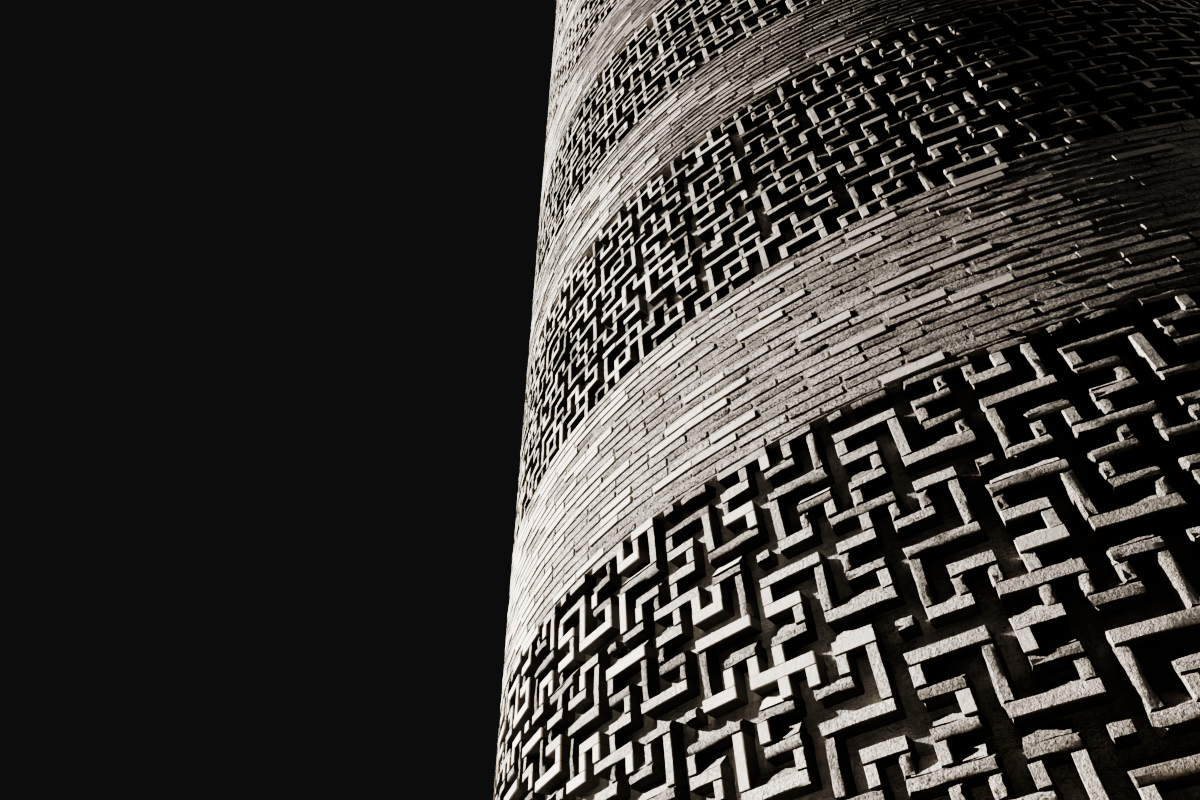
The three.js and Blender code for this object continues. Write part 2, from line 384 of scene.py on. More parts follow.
@dataclass(frozen=True)
class FiredBrick(Finish):
    """Pale fired brick, each with a tone and a wear of its own, pitted and stained by weather,
    with painted shade on its undersides, in the fret's recess, on the side turned away from
    the key light and as self-shadow in its pits and on its worn faces, and painted darker on
    the side that the key light strikes full.

    The depths of grain and lumps are in metres: that on a crisp brick, and what wear adds to it.
    Each edge is the two levels of noise between which that mark comes in.
    """

    light: Colour = (0.73, 0.67, 0.59)
    dark: Colour = (0.27, 0.235, 0.195)
    # The soot colour darkens pits and grime, and is also the painted shade on undersides and worn faces.
    soot_and_shade: Colour = (0.060, 0.052, 0.044)
    # The colour of the painted shade in the fret's recess.
    shade: Colour = (0.028, 0.0255, 0.0225)
    # The share of darkening by wear, which is partly real and partly painted self-shadow of rough faces.
    wear_and_shade: float = 0.0
    # How far the side struck full by the key light is painted darker, and how far the side turned away from
    # it is painted as shade.
    key_side_shade: float = 0.95
    lee_side_shade: float = 0.38
    # Painted shade on faces turned down: how far they turn, and how dark it is.
    under: Interval = (-0.35, -0.85)
    underside_shade: float = 0.7
    recess_shade: float = 0.95
    fineness: float = 92.0
    grain_fineness: float = 170.0
    lump_fineness: float = 58.0
    clay_fineness: float = 34.0
    cloud_fineness: float = 1.3
    pitting: float = 0.95
    pit_edge: Interval = (0.46, 0.40)
    specks: float = 0.8
    speck_edge: Interval = (0.49, 0.36)
    blotches: float = 0.35
    blotch_edge: Interval = (0.47, 0.36)
    clouds: float = 0.3
    cloud_edge: Interval = (0.52, 0.74)
    grain_depth: tuple[float, float] = (0.0006, 0.0120)
    lump_depth: tuple[float, float] = (0.0010, 0.0210)
    pit_depth: float = 0.008
    recess: Recess | None = None

    def surface(self, bench: Bench, point: Wire) -> tuple[Wire, Wire, Wire]:
        """Draws the brick from its tone and its wear, with grain, pits and grime.

        Args:
            bench: The material's tree.
            point: Where on the tower it is read.

        Returns:
            The colour, the roughness and the height in metres.
        """
        tone, wear = bench.attribute("tone"), bench.attribute("wear")
        clay = bench.noise(point, self.clay_fineness, 4.0)
        grain = bench.noise(point, self.grain_fineness, 2.0, 0.7)
        lumps = bench.noise(point, self.lump_fineness, 4.0, 0.6)
        holes = bench.noise(point, self.fineness, 3.0, 0.65)
        weather = bench.noise(point, self.cloud_fineness, 4.0)
        _, _, up = bench.facing()
        pits = holes.step(*self.pit_edge) * (0.05 + 0.95 * wear)
        shade = (tone * 0.95 + (clay - 0.5) * 0.7 + (lumps - 0.5) * wear).step(-0.05, 1.0)
        colour = bench.mix(shade, self.light, self.dark)
        # Pits and specks are darkened partly as real pitting and grime and partly as painted shadow of the
        # rough surface, which the bump does not cast.
        dots = grain.step(*self.speck_edge) * self.specks + lumps.step(*self.blotch_edge) * self.blotches
        grime_and_shade = weather.step(*self.cloud_edge) * self.clouds + pits * self.pitting + dots * wear
        # Worn bricks are darkened by the square of their wear, partly as wear and partly as painted
        # self-shadow of their rough faces.
        colour = bench.mix((grime_and_shade + wear * wear * self.wear_and_shade).step(0.0, 1.0), colour, self.soot_and_shade)
        # Painted shade on faces turned down.
        colour = bench.mix(up.step(*self.under) * self.underside_shade, colour, self.soot_and_shade)
        # A darkening painted on the side that the key light strikes full, toning its light down, and painted
        # shade on the front's side turned away from the key light.
        colour = bench.mix(KEY_SIDE_SHADE.share(bench, point) * self.key_side_shade, colour, self.dark)
        colour = bench.mix(LEE_SIDE_SHADE.share_in_front(bench, point) * self.lee_side_shade, colour, self.dark)
        # Painted shade in the fret's recess, under the ribs and on their sides that face the way of growing
        # angle.
        if self.recess:
            colour = bench.mix(self.recess.painted_shade(bench, point) * self.recess_shade, colour, self.shade)
        grains = grain * (self.grain_depth[0] + self.grain_depth[1] * wear)
        bumps = lumps * (self.lump_depth[0] + self.lump_depth[1] * wear)
        return colour, 0.86 + 0.1 * grain, grains + bumps - pits * self.pit_depth


@dataclass(frozen=True)
class LimeMortar(Finish):
    """The mortar that the bricks are bedded in, and the ground behind the raised ribs, with a darkening
    painted on two sides of the tower in place of light and shade.
    """

    light: Colour = (0.53, 0.484, 0.42)
    dark: Colour = (0.22, 0.196, 0.164)
    # The soot colour darkens the holes, partly as grime and partly as painted shadow.
    soot_and_shade: Colour = (0.06, 0.052, 0.044)
    # The colour of the painted darkening on the side struck full by the key light and of the painted shade on
    # the side turned away from it.
    grime_and_shade: Colour = (0.075, 0.066, 0.056)
    course: float = 0.063
    fineness: float = 92.0
    grain_fineness: float = 180.0
    lump_fineness: float = 46.0
    drift_fineness: float = 5.0
    hole_edge: Interval = (0.45, 0.39)
    grain_edge: Interval = (0.45, 0.33)
    joint_edge: Interval = (0.10, 0.0)
    specks: float = 0.7
    # How far the side struck full by the key light is painted darker, and how far the side turned away from
    # it is painted as shade.
    key_side_shade: float = 0.9
    lee_side_shade: float = 0.3
    grain_depth: float = 0.006
    lump_depth: float = 0.014
    joint_depth: float = 0.002
    hole_depth: float = 0.006

    def surface(self, bench: Bench, point: Wire) -> tuple[Wire, Wire, Wire]:
        """Draws rough mortar with the courses behind it just showing.

        Args:
            bench: The material's tree.
            point: Where on the tower it is read.

        Returns:
            The colour, the roughness and the height in metres.
        """
        _, _, height = bench.parts(point)
        lumps = bench.noise(point, self.lump_fineness, 4.0, 0.6)
        grain = bench.noise(point, self.grain_fineness, 2.0, 0.6)
        drift = bench.noise(point, self.drift_fineness, 3.0)
        holes = bench.noise(point, self.fineness, 3.0, 0.65).step(*self.hole_edge)
        place = height / self.course + (lumps - 0.5) * 0.35
        joint = bench.calculate("PINGPONG", bench.calculate("FRACT", place), 0.5).step(*self.joint_edge)
        shade = (drift * 0.6 + lumps * 0.5).step(0.35, 0.8)
        colour = bench.mix(shade, self.light, self.dark)
        colour = bench.mix(joint * 0.35 + grain.step(*self.grain_edge) * 0.5, colour, self.dark)
        # Dark specks in the holes: partly grime and partly painted shadow, which the bump does not cast.
        colour = bench.mix(holes * self.specks, colour, self.soot_and_shade)
        # A darkening painted on the side that the key light strikes full, toning its light down, and painted
        # shade on the side turned away from it.
        colour = bench.mix(KEY_SIDE_SHADE.share(bench, point) * self.key_side_shade, colour, self.grime_and_shade)
        colour = bench.mix(LEE_SIDE_SHADE.share(bench, point) * self.lee_side_shade, colour, self.grime_and_shade)
        relief = grain * self.grain_depth + lumps * self.lump_depth
        relief = relief - joint * self.joint_depth - holes * self.hole_depth
        return colour, 0.9 + 0.08 * grain, relief


@dataclass(frozen=True)
class CoursedBrick(Finish):
    """Brickwork drawn on a surface whose bricks aren't built one by one.

    Upright faces take their courses from the height and the way round the tower, and level
    faces take square paving bricks.
    """

    light: Colour = (0.53, 0.475, 0.40)
    dark: Colour = (0.31, 0.268, 0.218)
    mortar: Colour = (0.42, 0.382, 0.328)
    grime_and_shade: Colour = (0.17, 0.135, 0.10)
    radius: float = 4.85
    square: bool = False
    brick: tuple[float, float] = (0.27, 0.065)
    paving: float = 0.26
    joint: float = 0.011
    brick_relief: float = 0.005
    lump_depth: float = 0.003

    def surface(self, bench: Bench, point: Wire) -> tuple[Wire, Wire, Wire]:
        """Draws bricks and joints, with a tone for each brick and the same weather as the built ones.

        Args:
            bench: The material's tree.
            point: Where on the tower it is read.

        Returns:
            The colour, the roughness and the height in metres.
        """
        x, y, z = bench.parts(point)
        along = x + y if self.square else bench.calculate("ARCTAN2", x, y * -1.0) * self.radius
        _, _, up = bench.facing()
        flat = bench.calculate("ABSOLUTE", up).step(0.6, 0.8)
        wall = self.pattern(bench, bench.wire("ShaderNodeCombineXYZ", {}, {"X": along, "Y": z}), self.brick)
        slabs = self.pattern(bench, point, (self.paving, self.paving))
        tone = wall[0] * (1 - flat) + slabs[0] * flat
        gap = wall[1] * (1 - flat) + slabs[1] * flat
        clay = bench.noise(point, 30.0, 4.0)
        lumps = bench.noise(point, 90.0, 4.0, 0.65)
        weather = bench.noise(point, 1.1, 4.0)
        shade = (tone * 0.7 + (clay - 0.5) * 0.8).step(-0.05, 0.85)
        colour = bench.mix(shade, self.light, self.dark)
        colour = bench.mix(weather.step(0.5, 0.75) * 0.4, colour, self.grime_and_shade)
        colour = bench.mix(gap, colour, self.mortar)
        relief = (1 - gap) * self.brick_relief + lumps * self.lump_depth
        return colour, 0.88 + 0.08 * lumps, relief

    def pattern(self, bench: Bench, place: Wire, size: tuple[float, float]) -> tuple[Wire, Wire]:
        """Lays a half bond over a flat place.

        Args:
            bench: The material's tree.
            place: Where the pattern is read, in metres.
            size: A brick's length and height with its joints.

        Returns:
            The tone of each brick and the mask of the joints.
        """
        inputs = {
            "Vector": place,
            "Color1": (0.0, 0.0, 0.0, 1.0),
            "Color2": (1.0, 1.0, 1.0, 1.0),
            "Mortar": (0.5, 0.5, 0.5, 1.0),
            "Scale": 1.0,
            "Mortar Size": self.joint / 2,
            "Mortar Smooth": 0.3,
            "Bias": 0.0,
            "Brick Width": size[0],
            "Row Height": size[1],
        }
        bricks = bench.add("ShaderNodeTexBrick", {"offset": 0.5, "offset_frequency": 2}, inputs)
        return Wire(bench, bricks.outputs["Color"]), Wire(bench, bricks.outputs["Fac"])


# The tower's face


@dataclass(frozen=True)
class Shaft:
    """The tower's leaning face."""

    foot_height: float
    foot_radius: float
    taper: float = 0.067

    @property
    def lean(self) -> float:
        """The angle by which the face leans inwards."""
        return math.atan(self.taper)

    def radius(self, height: float) -> float:
        """The radius of the plain brickwork at a height."""
        return self.foot_radius - self.taper * (height - self.foot_height)

    @staticmethod
    def point(angle: float, radius: float, height: float) -> Vector:
        """A point from the angle round the tower, the radius and the height."""
        return Vector((radius * math.sin(angle), -radius * math.cos(angle), height))


@dataclass(frozen=True)
class Doorway:
    """The opening high on the +Y side, where no band's brick is laid."""

    half_width: float
    foot: float
    top: float
    clear: float = 0.006

    def half_angle(self, radius: float) -> float:
        """Half the angle that the doorway's surround takes out of a ring of this radius."""
        return math.asin((self.half_width + self.clear) / radius)

    def leaves(self, span: Interval, radius: float, low: float, high: float) -> Iterator[Interval]:
        """Cuts the doorway out of a stretch of brickwork.

        Args:
            span: The angles where the stretch starts and ends.
            radius: Its radius.
            low: Its lowest height.
            high: Its highest height.

        Yields:
            What is left of it.
        """
        if low > self.top or high < self.foot:
            yield span
            return
        half = self.half_angle(radius)
        turns = math.floor(span[0] / FULL_TURN) * FULL_TURN
        start, end = turns + math.pi - half, turns + math.pi + half
        if span[1] <= start or span[0] >= end:
            yield span
            return
        if span[0] < start:
            yield span[0], start
        if span[1] > end:
            yield end, span[1]


# Moulds


@dataclass(frozen=True)
class Decay:
    """What weather takes off a brick: rounding, dents, a crowned front and broken ends, in metres.

    Soft is the widest angle between two of its faces that is still shaded as a curve.
    """

    rounding: float
    dent: float
    crown: float
    broken: float
    soft: float

    def dented(self, dice: random.Random) -> float:
        """How deep the weather has dented one place."""
        return self.dent * dice.random() ** 2

    def milder(self, share: float) -> "Decay":
        """The same decay on a brick whose neighbours shelter it."""
        return Decay(self.rounding * share, self.dent * share, self.crown * share, self.broken, self.soft)


@dataclass(frozen=True)
class Mould:
    """The shape that a kind of brick is struck from, front face on the plane y = 0.

    The last five fields are shares: of a dent, by which a point of the front slides and by
    which an edge is worn; of a break, that shows on the ends of a standing brick; of the
    crown, that its two ends have; and of the rounding, by which the edge lies back.
    """

    length: float
    height: float
    depth: float
    cuts: tuple[int, int]
    decay: Decay
    slope: float = 0.0
    slides: float = 0.3
    edge_worn: float = 0.5
    standing_broken: float = 0.3
    end_crown: float = 0.5
    edge_back: float = 1.3

    def share(self, column: int, row: int) -> Vector:
        """Where a place of the front's grid lies, as shares of the half length and the half height."""
        return Vector((2 * column / self.cuts[0] - 1, 0, 2 * row / self.cuts[1] - 1))

    def front_point(self, share: Vector, dice: random.Random) -> Vector:
        """Places a point of the front.

        Args:
            share: Its share of the half length and the half height.
            dice: The source of its damage.

        Returns:
            The point.
        """
        decay = self.decay
        slide = decay.dent * self.slides
        across = share.x * (self.length / 2 - decay.rounding) + dice.uniform(-slide, slide)
        up = share.z * (self.height / 2 - decay.rounding) + dice.uniform(-slide, slide)
        crown = decay.crown * (share.z ** 2 + self.end_crown * share.x ** 6)
        lean = self.slope * (up + self.height / 2)
        return Vector((across, decay.dented(dice) + crown + lean, up))

    def edge_point(self, share: Vector, dice: random.Random) -> Vector:
        """Places a point of the edge behind the front's rounding, drawn in where the brick is broken.

        Args:
            share: Its share of the half length and the half height.
            dice: The source of its damage.

        Returns:
            The point.
        """
        decay = self.decay
        worn = decay.dent * self.edge_worn * dice.random()
        broken = decay.broken * dice.random() ** 3
        lying = self.length >= self.height
        across = share.x * self.length / 2
        up = share.z * self.height / 2
        if abs(share.x) == 1:
            across -= share.x * (worn + (broken if lying else 0.0))
        if abs(share.z) == 1:
            up -= share.z * (worn + (0.0 if lying else self.standing_broken * broken))
        lean = self.slope * (up + self.height / 2)
        back = decay.rounding * self.edge_back + decay.crown
        return Vector((across, back + decay.dented(dice) + lean, up))

    def strike(self, name: str, dice: random.Random) -> bpy.types.Mesh:
        """Makes one brick: a cut front, rounded edges if it has any, plain sides and a plain back.

        Args:
            name: The mesh's name.
            dice: The source of its damage.

        Returns:
            The closed mesh.
        """
        across, up = self.cuts
        rounded = self.decay.rounding > 0
        shape = bmesh.new()
        front: dict[tuple[int, int], bmesh.types.BMVert] = {}
        lip: dict[tuple[int, int], bmesh.types.BMVert] = {}
        for column in range(across + 1):
            for row in range(up + 1):
                front[column, row] = shape.verts.new(self.front_point(self.share(column, row), dice))
        for column in range(across):
            for row in range(up):
                corners = ((column, row), (column + 1, row), (column + 1, row + 1), (column, row + 1))
                shape.faces.new([front[corner] for corner in corners])
        rim = self.rim(across, up)
        for place in rim:
            lip[place] = front[place]
            if rounded:
                lip[place] = shape.verts.new(self.edge_point(self.share(*place), dice))
        if rounded:
            for here, there in zip(rim, rim[1:] + rim[:1]):
                shape.faces.new([front[here], lip[here], lip[there], front[there]])
        back = {
            (column, row): shape.verts.new((sx * self.length / 2, self.depth, sz * self.height / 2))
            for column, sx in ((0, -1), (across, 1))
            for row, sz in ((0, -1), (up, 1))
        }
        corners = [(0, 0), (across, 0), (across, up), (0, up)]
        for here, there in zip(corners, corners[1:] + corners[:1]):
            start, end = rim.index(here), rim.index(there)
            side = rim[start:end + 1] if end > start else rim[start:] + [there]
            shape.faces.new([lip[place] for place in side] + [back[there], back[here]])
        shape.faces.new([back[corner] for corner in reversed(corners)])
        return finished(shape, name, self.decay.soft)

    @staticmethod
    def rim(across: int, up: int) -> list[tuple[int, int]]:
        """Walks round the front's edge.

        Args:
            across: The number of cuts across.
            up: The number of cuts up.

        Returns:
            The places of the grid there, in order.
        """
        low = [(column, 0) for column in range(across)]
        right = [(across, row) for row in range(up)]
        high = [(column, up) for column in range(across, 0, -1)]
        left = [(0, row) for row in range(up, 0, -1)]
        return low + right + high + left


def finished(shape: bmesh.types.BMesh, name: str, soft: float) -> bpy.types.Mesh:
    """Turns a closed shape into a mesh of triangles with its faces outwards.

    Args:
        shape: The shape, which is freed.
        name: The mesh's name.
        soft: The widest angle between two faces that is still shaded as a curve.

    Returns:
        The mesh.
    """
    bmesh.ops.recalc_face_normals(shape, faces=shape.faces)
    bmesh.ops.triangulate(shape, faces=shape.faces)
    for face in shape.faces:
        face.smooth = True
    for edge in shape.edges:
        edge.smooth = edge.calc_face_angle(0.0) < soft
    mesh = bpy.data.meshes.new(name)
    shape.to_mesh(mesh)
    shape.free()
    return mesh


SIZES = {
    Kind.STRETCHER: (0.272, 0.053, 0.040),
    Kind.RIB: (0.290, 0.051, 0.105),
    Kind.RIB_STUB: (0.165, 0.051, 0.105),
    Kind.POST: (0.047, 0.200, 0.105),
    Kind.POST_STUB: (0.047, 0.076, 0.105),
    Kind.SOLDIER: (0.055, 0.235, 0.040),
    Kind.SLAB: (0.257, 0.257, 0.040),
    Kind.FILLET: (0.165, 0.075, 0.105),
}
SHORT = (Kind.RIB_STUB, Kind.POST_STUB, Kind.FILLET)
SHORT_CUTS = 3
SOUND_CUTS = {Wear.CRISP: (1, 1), Wear.WORN: (1, 1), Wear.EATEN: (2, 1)}
CLOSE_CUTS = {Wear.CRISP: (1, 1), Wear.WORN: (3, 1), Wear.EATEN: (4, 2)}
SOUND = {
    Wear.CRISP: Decay(0.0, 0.0, 0.0, 0.0, math.radians(20)),
    Wear.WORN: Decay(0.005, 0.004, 0.0, 0.010, math.radians(30)),
    Wear.EATEN: Decay(0.009, 0.007, 0.002, 0.030, math.radians(50)),
}
CLOSE = {
    Wear.CRISP: Decay(0.0016, 0.0010, 0.0, 0.005, math.radians(20)),
    Wear.WORN: Decay(0.0050, 0.0050, 0.001, 0.012, math.radians(35)),
    Wear.EATEN: Decay(0.0110, 0.0085, 0.003, 0.026, math.radians(42)),
}


@dataclass
class Mouldshop:
    """All the moulds, as objects in one collection whose order is the bricks' mould number.

    Slopes say how far a kind leans back for each metre up, sheltered says what share of the
    decay its neighbours leave it, and casts says how many bricks are struck of each wear.
    """

    name: str
    sizes: dict[Kind, tuple[float, float, float]]
    cuts: dict[Wear, tuple[int, int]]
    decays: dict[Wear, Decay]
    slopes: dict[Kind, float] = field(default_factory=lambda: {Kind.FILLET: 0.8})
    sheltered: dict[Kind, float] = field(default_factory=lambda: {Kind.STRETCHER: 0.7})
    casts: dict[Wear, int] = field(default_factory=lambda: {Wear.CRISP: 3, Wear.WORN: 5, Wear.EATEN: 7})
    numbers: dict[tuple[Kind, Wear], list[int]] = field(default_factory=dict)
    collection: bpy.types.Collection | None = None

    def open(self) -> None:
        """Strikes every mould."""
        self.collection = bpy.data.collections.new(self.name)
        bpy.context.scene.collection.children.link(self.collection)
        dice = random.Random(SEED)
        number = 0
        for kind, (length, height, depth) in self.sizes.items():
            for wear in Wear:
                across, up = self.cuts[wear]
                if kind in SHORT:
                    across = min(across, SHORT_CUTS)
                if height > length:
                    across, up = up, across
                slope = self.slopes.get(kind, 0.0)
                decay = self.decays[wear].milder(self.sheltered.get(kind, 1.0))
                mould = Mould(length, height, depth, (across, up), decay, slope)
                for _ in range(self.casts[wear]):
                    mesh = mould.strike(f"{self.name}_{number:03d}", dice)
                    cast = bpy.data.objects.new(mesh.name, mesh)
                    self.collection.objects.link(cast)
                    self.numbers.setdefault((kind, wear), []).append(number)
                    number += 1

    def close(self) -> None:
        """Clears the moulds away once the bricks are laid."""
        for cast in list(self.collection.objects):
            mesh = cast.data
            bpy.data.objects.remove(cast)
            bpy.data.meshes.remove(mesh)
        bpy.data.collections.remove(self.collection)


# Laying


@dataclass(frozen=True)
class Look:
    """What the finish reads from a brick: its tone, which strays by the spread, and its wear."""

    tone: float
    wear: float
    spread: float = 0.15


@dataclass(frozen=True)
class Habit:
    """How bricks of one wear lie and look.

    The set-back is how far behind the face they lie, from least to most, and the swell is how
    much the mortar left on a rib adds to each side of it, all in metres.
    """

    unrest: float
    set_back: Interval
    look: Look
    swell: float = 0.0


# The eaten bricks' darker tone is partly their own wear and partly painted self-shadow of their rough faces.
HABITS = {
    Wear.CRISP: Habit(0.5, (-0.003, 0.002), Look(0.05, 0.10)),
    Wear.WORN: Habit(1.0, (0.000, 0.005), Look(0.18, 0.60), 0.001),
    Wear.EATEN: Habit(1.7, (0.002, 0.009), Look(0.48, 1.0), 0.005),
}
PAVED = Look(0.30, 0.5, 0.07)
FLAT = (Kind.STRETCHER, Kind.SOLDIER, Kind.SLAB)


@dataclass
class Brickwork:
    """Bricks laid on one piece: where each one lies, how it is turned and which mould it is from.

    The tilt, the two rolls and the yaw are how far a worn brick strays from its place, in
    radians, and the share is how much of the set-back a flat one takes.
    """

    name: str
    shop: Mouldshop
    shaft: Shaft
    dice: random.Random
    tilt: float = 0.010
    flat_roll: float = 0.010
    rib_roll: float = 0.006
    yaw: float = 0.008
    flat_share: float = 0.5
    spots: list[Vector] = field(default_factory=list)
    turns: list[Vector] = field(default_factory=list)
    stretches: list[Vector] = field(default_factory=list)
    moulds: list[int] = field(default_factory=list)
    tones: list[float] = field(default_factory=list)
    wears: list[float] = field(default_factory=list)

    def place(self, kind: Kind, wear: Wear, spot: Vector, angle: float,
              size: tuple[float, float], lean: float | None = None, roll: float = 0.0) -> None:
        """Lays one brick with its front at a spot.

        Args:
            kind: Its kind.
            wear: How worn it is.
            spot: The middle of its front.
            angle: Which way it faces, round the tower.
            size: Its length across and its height.
            lean: How far its front leans in, if not as the shaft does.
            roll: How far it is turned in its front.
        """
        dice = self.dice
        length, tall, _ = self.shop.sizes[kind]
        lean = self.shaft.lean if lean is None else lean
        habit = HABITS[wear]
        outwards = Vector((math.sin(angle), -math.cos(angle), 0))
        flat = kind in FLAT
        behind = dice.uniform(*habit.set_back) * (self.flat_share if flat else 1.0)
        self.spots.append(spot - outwards * behind)
        tilt = dice.gauss(-lean, self.tilt * habit.unrest)
        turned = dice.gauss(roll, (self.flat_roll if flat else self.rib_roll) * habit.unrest)
        yaw = dice.gauss(angle, self.yaw * habit.unrest)
        self.turns.append(Vector((tilt, turned, yaw)))
        swell = 0.0 if flat else 2 * habit.swell
        self.stretches.append(Vector(((size[0] + swell) / length, 1.0, (size[1] + swell) / tall)))
        self.moulds.append(dice.choice(self.shop.numbers[kind, wear]))
        look = PAVED if kind is Kind.SLAB else habit.look
        self.tones.append(min(1.0, max(0.0, dice.gauss(look.tone, look.spread))))
        self.wears.append(look.wear)

    def points(self) -> bpy.types.Object:
        """Makes the object whose loose vertices are the bricks' places.

        Returns:
            The object, which carries what each brick needs as attributes.
        """
        mesh = bpy.data.meshes.new(self.name)
        mesh.from_pydata(self.spots, [], [])
        rows = (("turn", "FLOAT_VECTOR", self.turns), ("stretch", "FLOAT_VECTOR", self.stretches),
                ("mould", "INT", self.moulds), ("tone", "FLOAT", self.tones), ("wear", "FLOAT", self.wears))
        for name, kind, values in rows:
            layer = mesh.attributes.new(name, kind, "POINT")
            if kind == "FLOAT_VECTOR":
                layer.data.foreach_set("vector", [part for value in values for part in value])
            else:
                layer.data.foreach_set("value", values)
        piece = bpy.data.objects.new(self.name, mesh)
        bpy.context.scene.collection.objects.link(piece)
        return piece


class Bricklayer:
    """The geometry tree that sets a brick on every point and beds them in their ground."""

    def __init__(self) -> None:
        """Builds the tree."""
        tree = bpy.data.node_groups.new("bricklaying", "GeometryNodeTree")
        tree.is_modifier = True
        self.tree = tree
        sockets = (("Places", "NodeSocketGeometry"), ("Moulds", "NodeSocketCollection"),
                   ("Ground", "NodeSocketObject"), ("Brick", "NodeSocketMaterial"),
                   ("Mortar", "NodeSocketMaterial"), ("Decay", "NodeSocketFloat"),
                   ("Decay Size", "NodeSocketFloat"), ("Seed", "NodeSocketFloat"))
        for name, kind in sockets:
            tree.interface.new_socket(name, in_out="INPUT", socket_type=kind)
        tree.interface.new_socket("Brickwork", in_out="OUTPUT", socket_type="NodeSocketGeometry")
        bench = Bench(tree)
        given = bench.add("NodeGroupInput").outputs
        moulds = bench.add("GeometryNodeCollectionInfo", {"transform_space": "ORIGINAL"}, {
            "Collection": given["Moulds"], "Separate Children": True, "Reset Children": True})
        turn = bench.add("FunctionNodeEulerToRotation", {}, {
            0: self.named(bench, "turn", "FLOAT_VECTOR")})
        bricks = bench.add("GeometryNodeInstanceOnPoints", {}, {
            "Points": given["Places"],
            "Instance": moulds.outputs[0],
            "Pick Instance": True,
            "Instance Index": self.named(bench, "mould", "INT"),
            "Rotation": turn.outputs[0],
            "Scale": self.named(bench, "stretch", "FLOAT_VECTOR"),
        })
        laid = bench.add("GeometryNodeRealizeInstances", {}, {"Geometry": bricks.outputs[0]})
        place = bench.add("GeometryNodeInputPosition").outputs[0]
        seeded = bench.add("ShaderNodeTexNoise", {"noise_dimensions": "4D"}, {
            "Vector": place, "W": given["Seed"], "Scale": given["Decay Size"], "Detail": 1.0})
        centred = bench.add("ShaderNodeVectorMath", {"operation": "SUBTRACT"}, {
            0: seeded.outputs["Color"], 1: (0.5, 0.5, 0.5)})
        amount = bench.add("ShaderNodeMath", {"operation": "MULTIPLY"}, {
            0: self.named(bench, "wear", "FLOAT"), 1: given["Decay"]})
        offset = bench.add("ShaderNodeVectorMath", {"operation": "SCALE"}, {
            0: centred.outputs[0], "Scale": amount.outputs[0]})
        decayed = bench.add("GeometryNodeSetPosition", {}, {
            "Geometry": laid.outputs[0], "Offset": offset.outputs[0]})
        fired = bench.add("GeometryNodeSetMaterial", {}, {
            "Geometry": decayed.outputs[0], "Material": given["Brick"]})
        ground = bench.add("GeometryNodeObjectInfo", {"transform_space": "ORIGINAL"}, {
            "Object": given["Ground"]})
        bedded = bench.add("GeometryNodeSetMaterial", {}, {
            "Geometry": ground.outputs["Geometry"], "Material": given["Mortar"]})
        joined = bench.add("GeometryNodeJoinGeometry")
        tree.links.new(fired.outputs[0], joined.inputs[0])
        tree.links.new(bedded.outputs[0], joined.inputs[0])
        whole = bench.add("GeometryNodeRealizeInstances", {}, {"Geometry": joined.outputs[0]})
        bench.add("NodeGroupOutput", {}, {0: whole.outputs[0]})

    @staticmethod
    def named(bench: Bench, name: str, kind: str) -> bpy.types.NodeSocket:
        """Reads an attribute of the points."""
        node = bench.add("GeometryNodeInputNamedAttribute", {"data_type": kind}, {"Name": name})
        return node.outputs[0]

    def build(self, work: Brickwork, ground: bpy.types.Object | None, brick: Finish, mortar: Finish,
              decay: float = 0.007, decay_size: float = 42.0) -> bpy.types.Object:
        """Turns laid bricks and their ground into one plain mesh.

        Args:
            work: The bricks.
            ground: The mortar behind them, which goes into the piece.
            brick: The bricks' finish.
            mortar: The ground's finish.
            decay: How far weather moves a worn brick's surface, in metres.
            decay_size: How fine that is.

        Returns:
            The finished piece, at the origin.
        """
        holder = work.points()
        modifier = holder.modifiers.new("bricklaying", "NODES")
        modifier.node_group = self.tree
        given = {"Moulds": work.shop.collection, "Ground": ground, "Brick": brick.material(),
                 "Mortar": mortar.material(), "Decay": decay, "Decay Size": decay_size,
                 "Seed": float(len(work.spots) % DECAY_SEEDS)}
        for item in self.tree.interface.items_tree:
            if item.in_out == "INPUT" and item.name in given:
                modifier[item.identifier] = given[item.name]
        bpy.context.view_layer.update()
        graph = bpy.context.evaluated_depsgraph_get()
        mesh = bpy.data.meshes.new_from_object(holder.evaluated_get(graph), depsgraph=graph)
        mesh.name = work.name
        points = holder.data
        bpy.data.objects.remove(holder)
        bpy.data.meshes.remove(points)
        if ground:
            bpy.data.meshes.remove(ground.data)
        for name in ("turn", "stretch", "mould"):
            if name in mesh.attributes:
                mesh.attributes.remove(mesh.attributes[name])
        for slot in reversed(range(len(mesh.materials))):
            if mesh.materials[slot] is None:
                mesh.materials.pop(index=slot)
        piece = bpy.data.objects.new(work.name, mesh)
        bpy.context.scene.collection.objects.link(piece)
        return piece


def tell(piece: bpy.types.Object, slot: str, *nodes: str) -> None:
    """Rides a piece on the tower, hides the nodes that it stands for, and reports it.

    Args:
        piece: The finished piece.
        slot: Not used.
        nodes: The nodes that it replaces.
    """
    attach(piece, ROOT)
    if nodes:
        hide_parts(*nodes)
    piece.data.calc_loop_triangles()
    log.info("%s: %d triangles", piece.name, len(piece.data.loop_triangles))


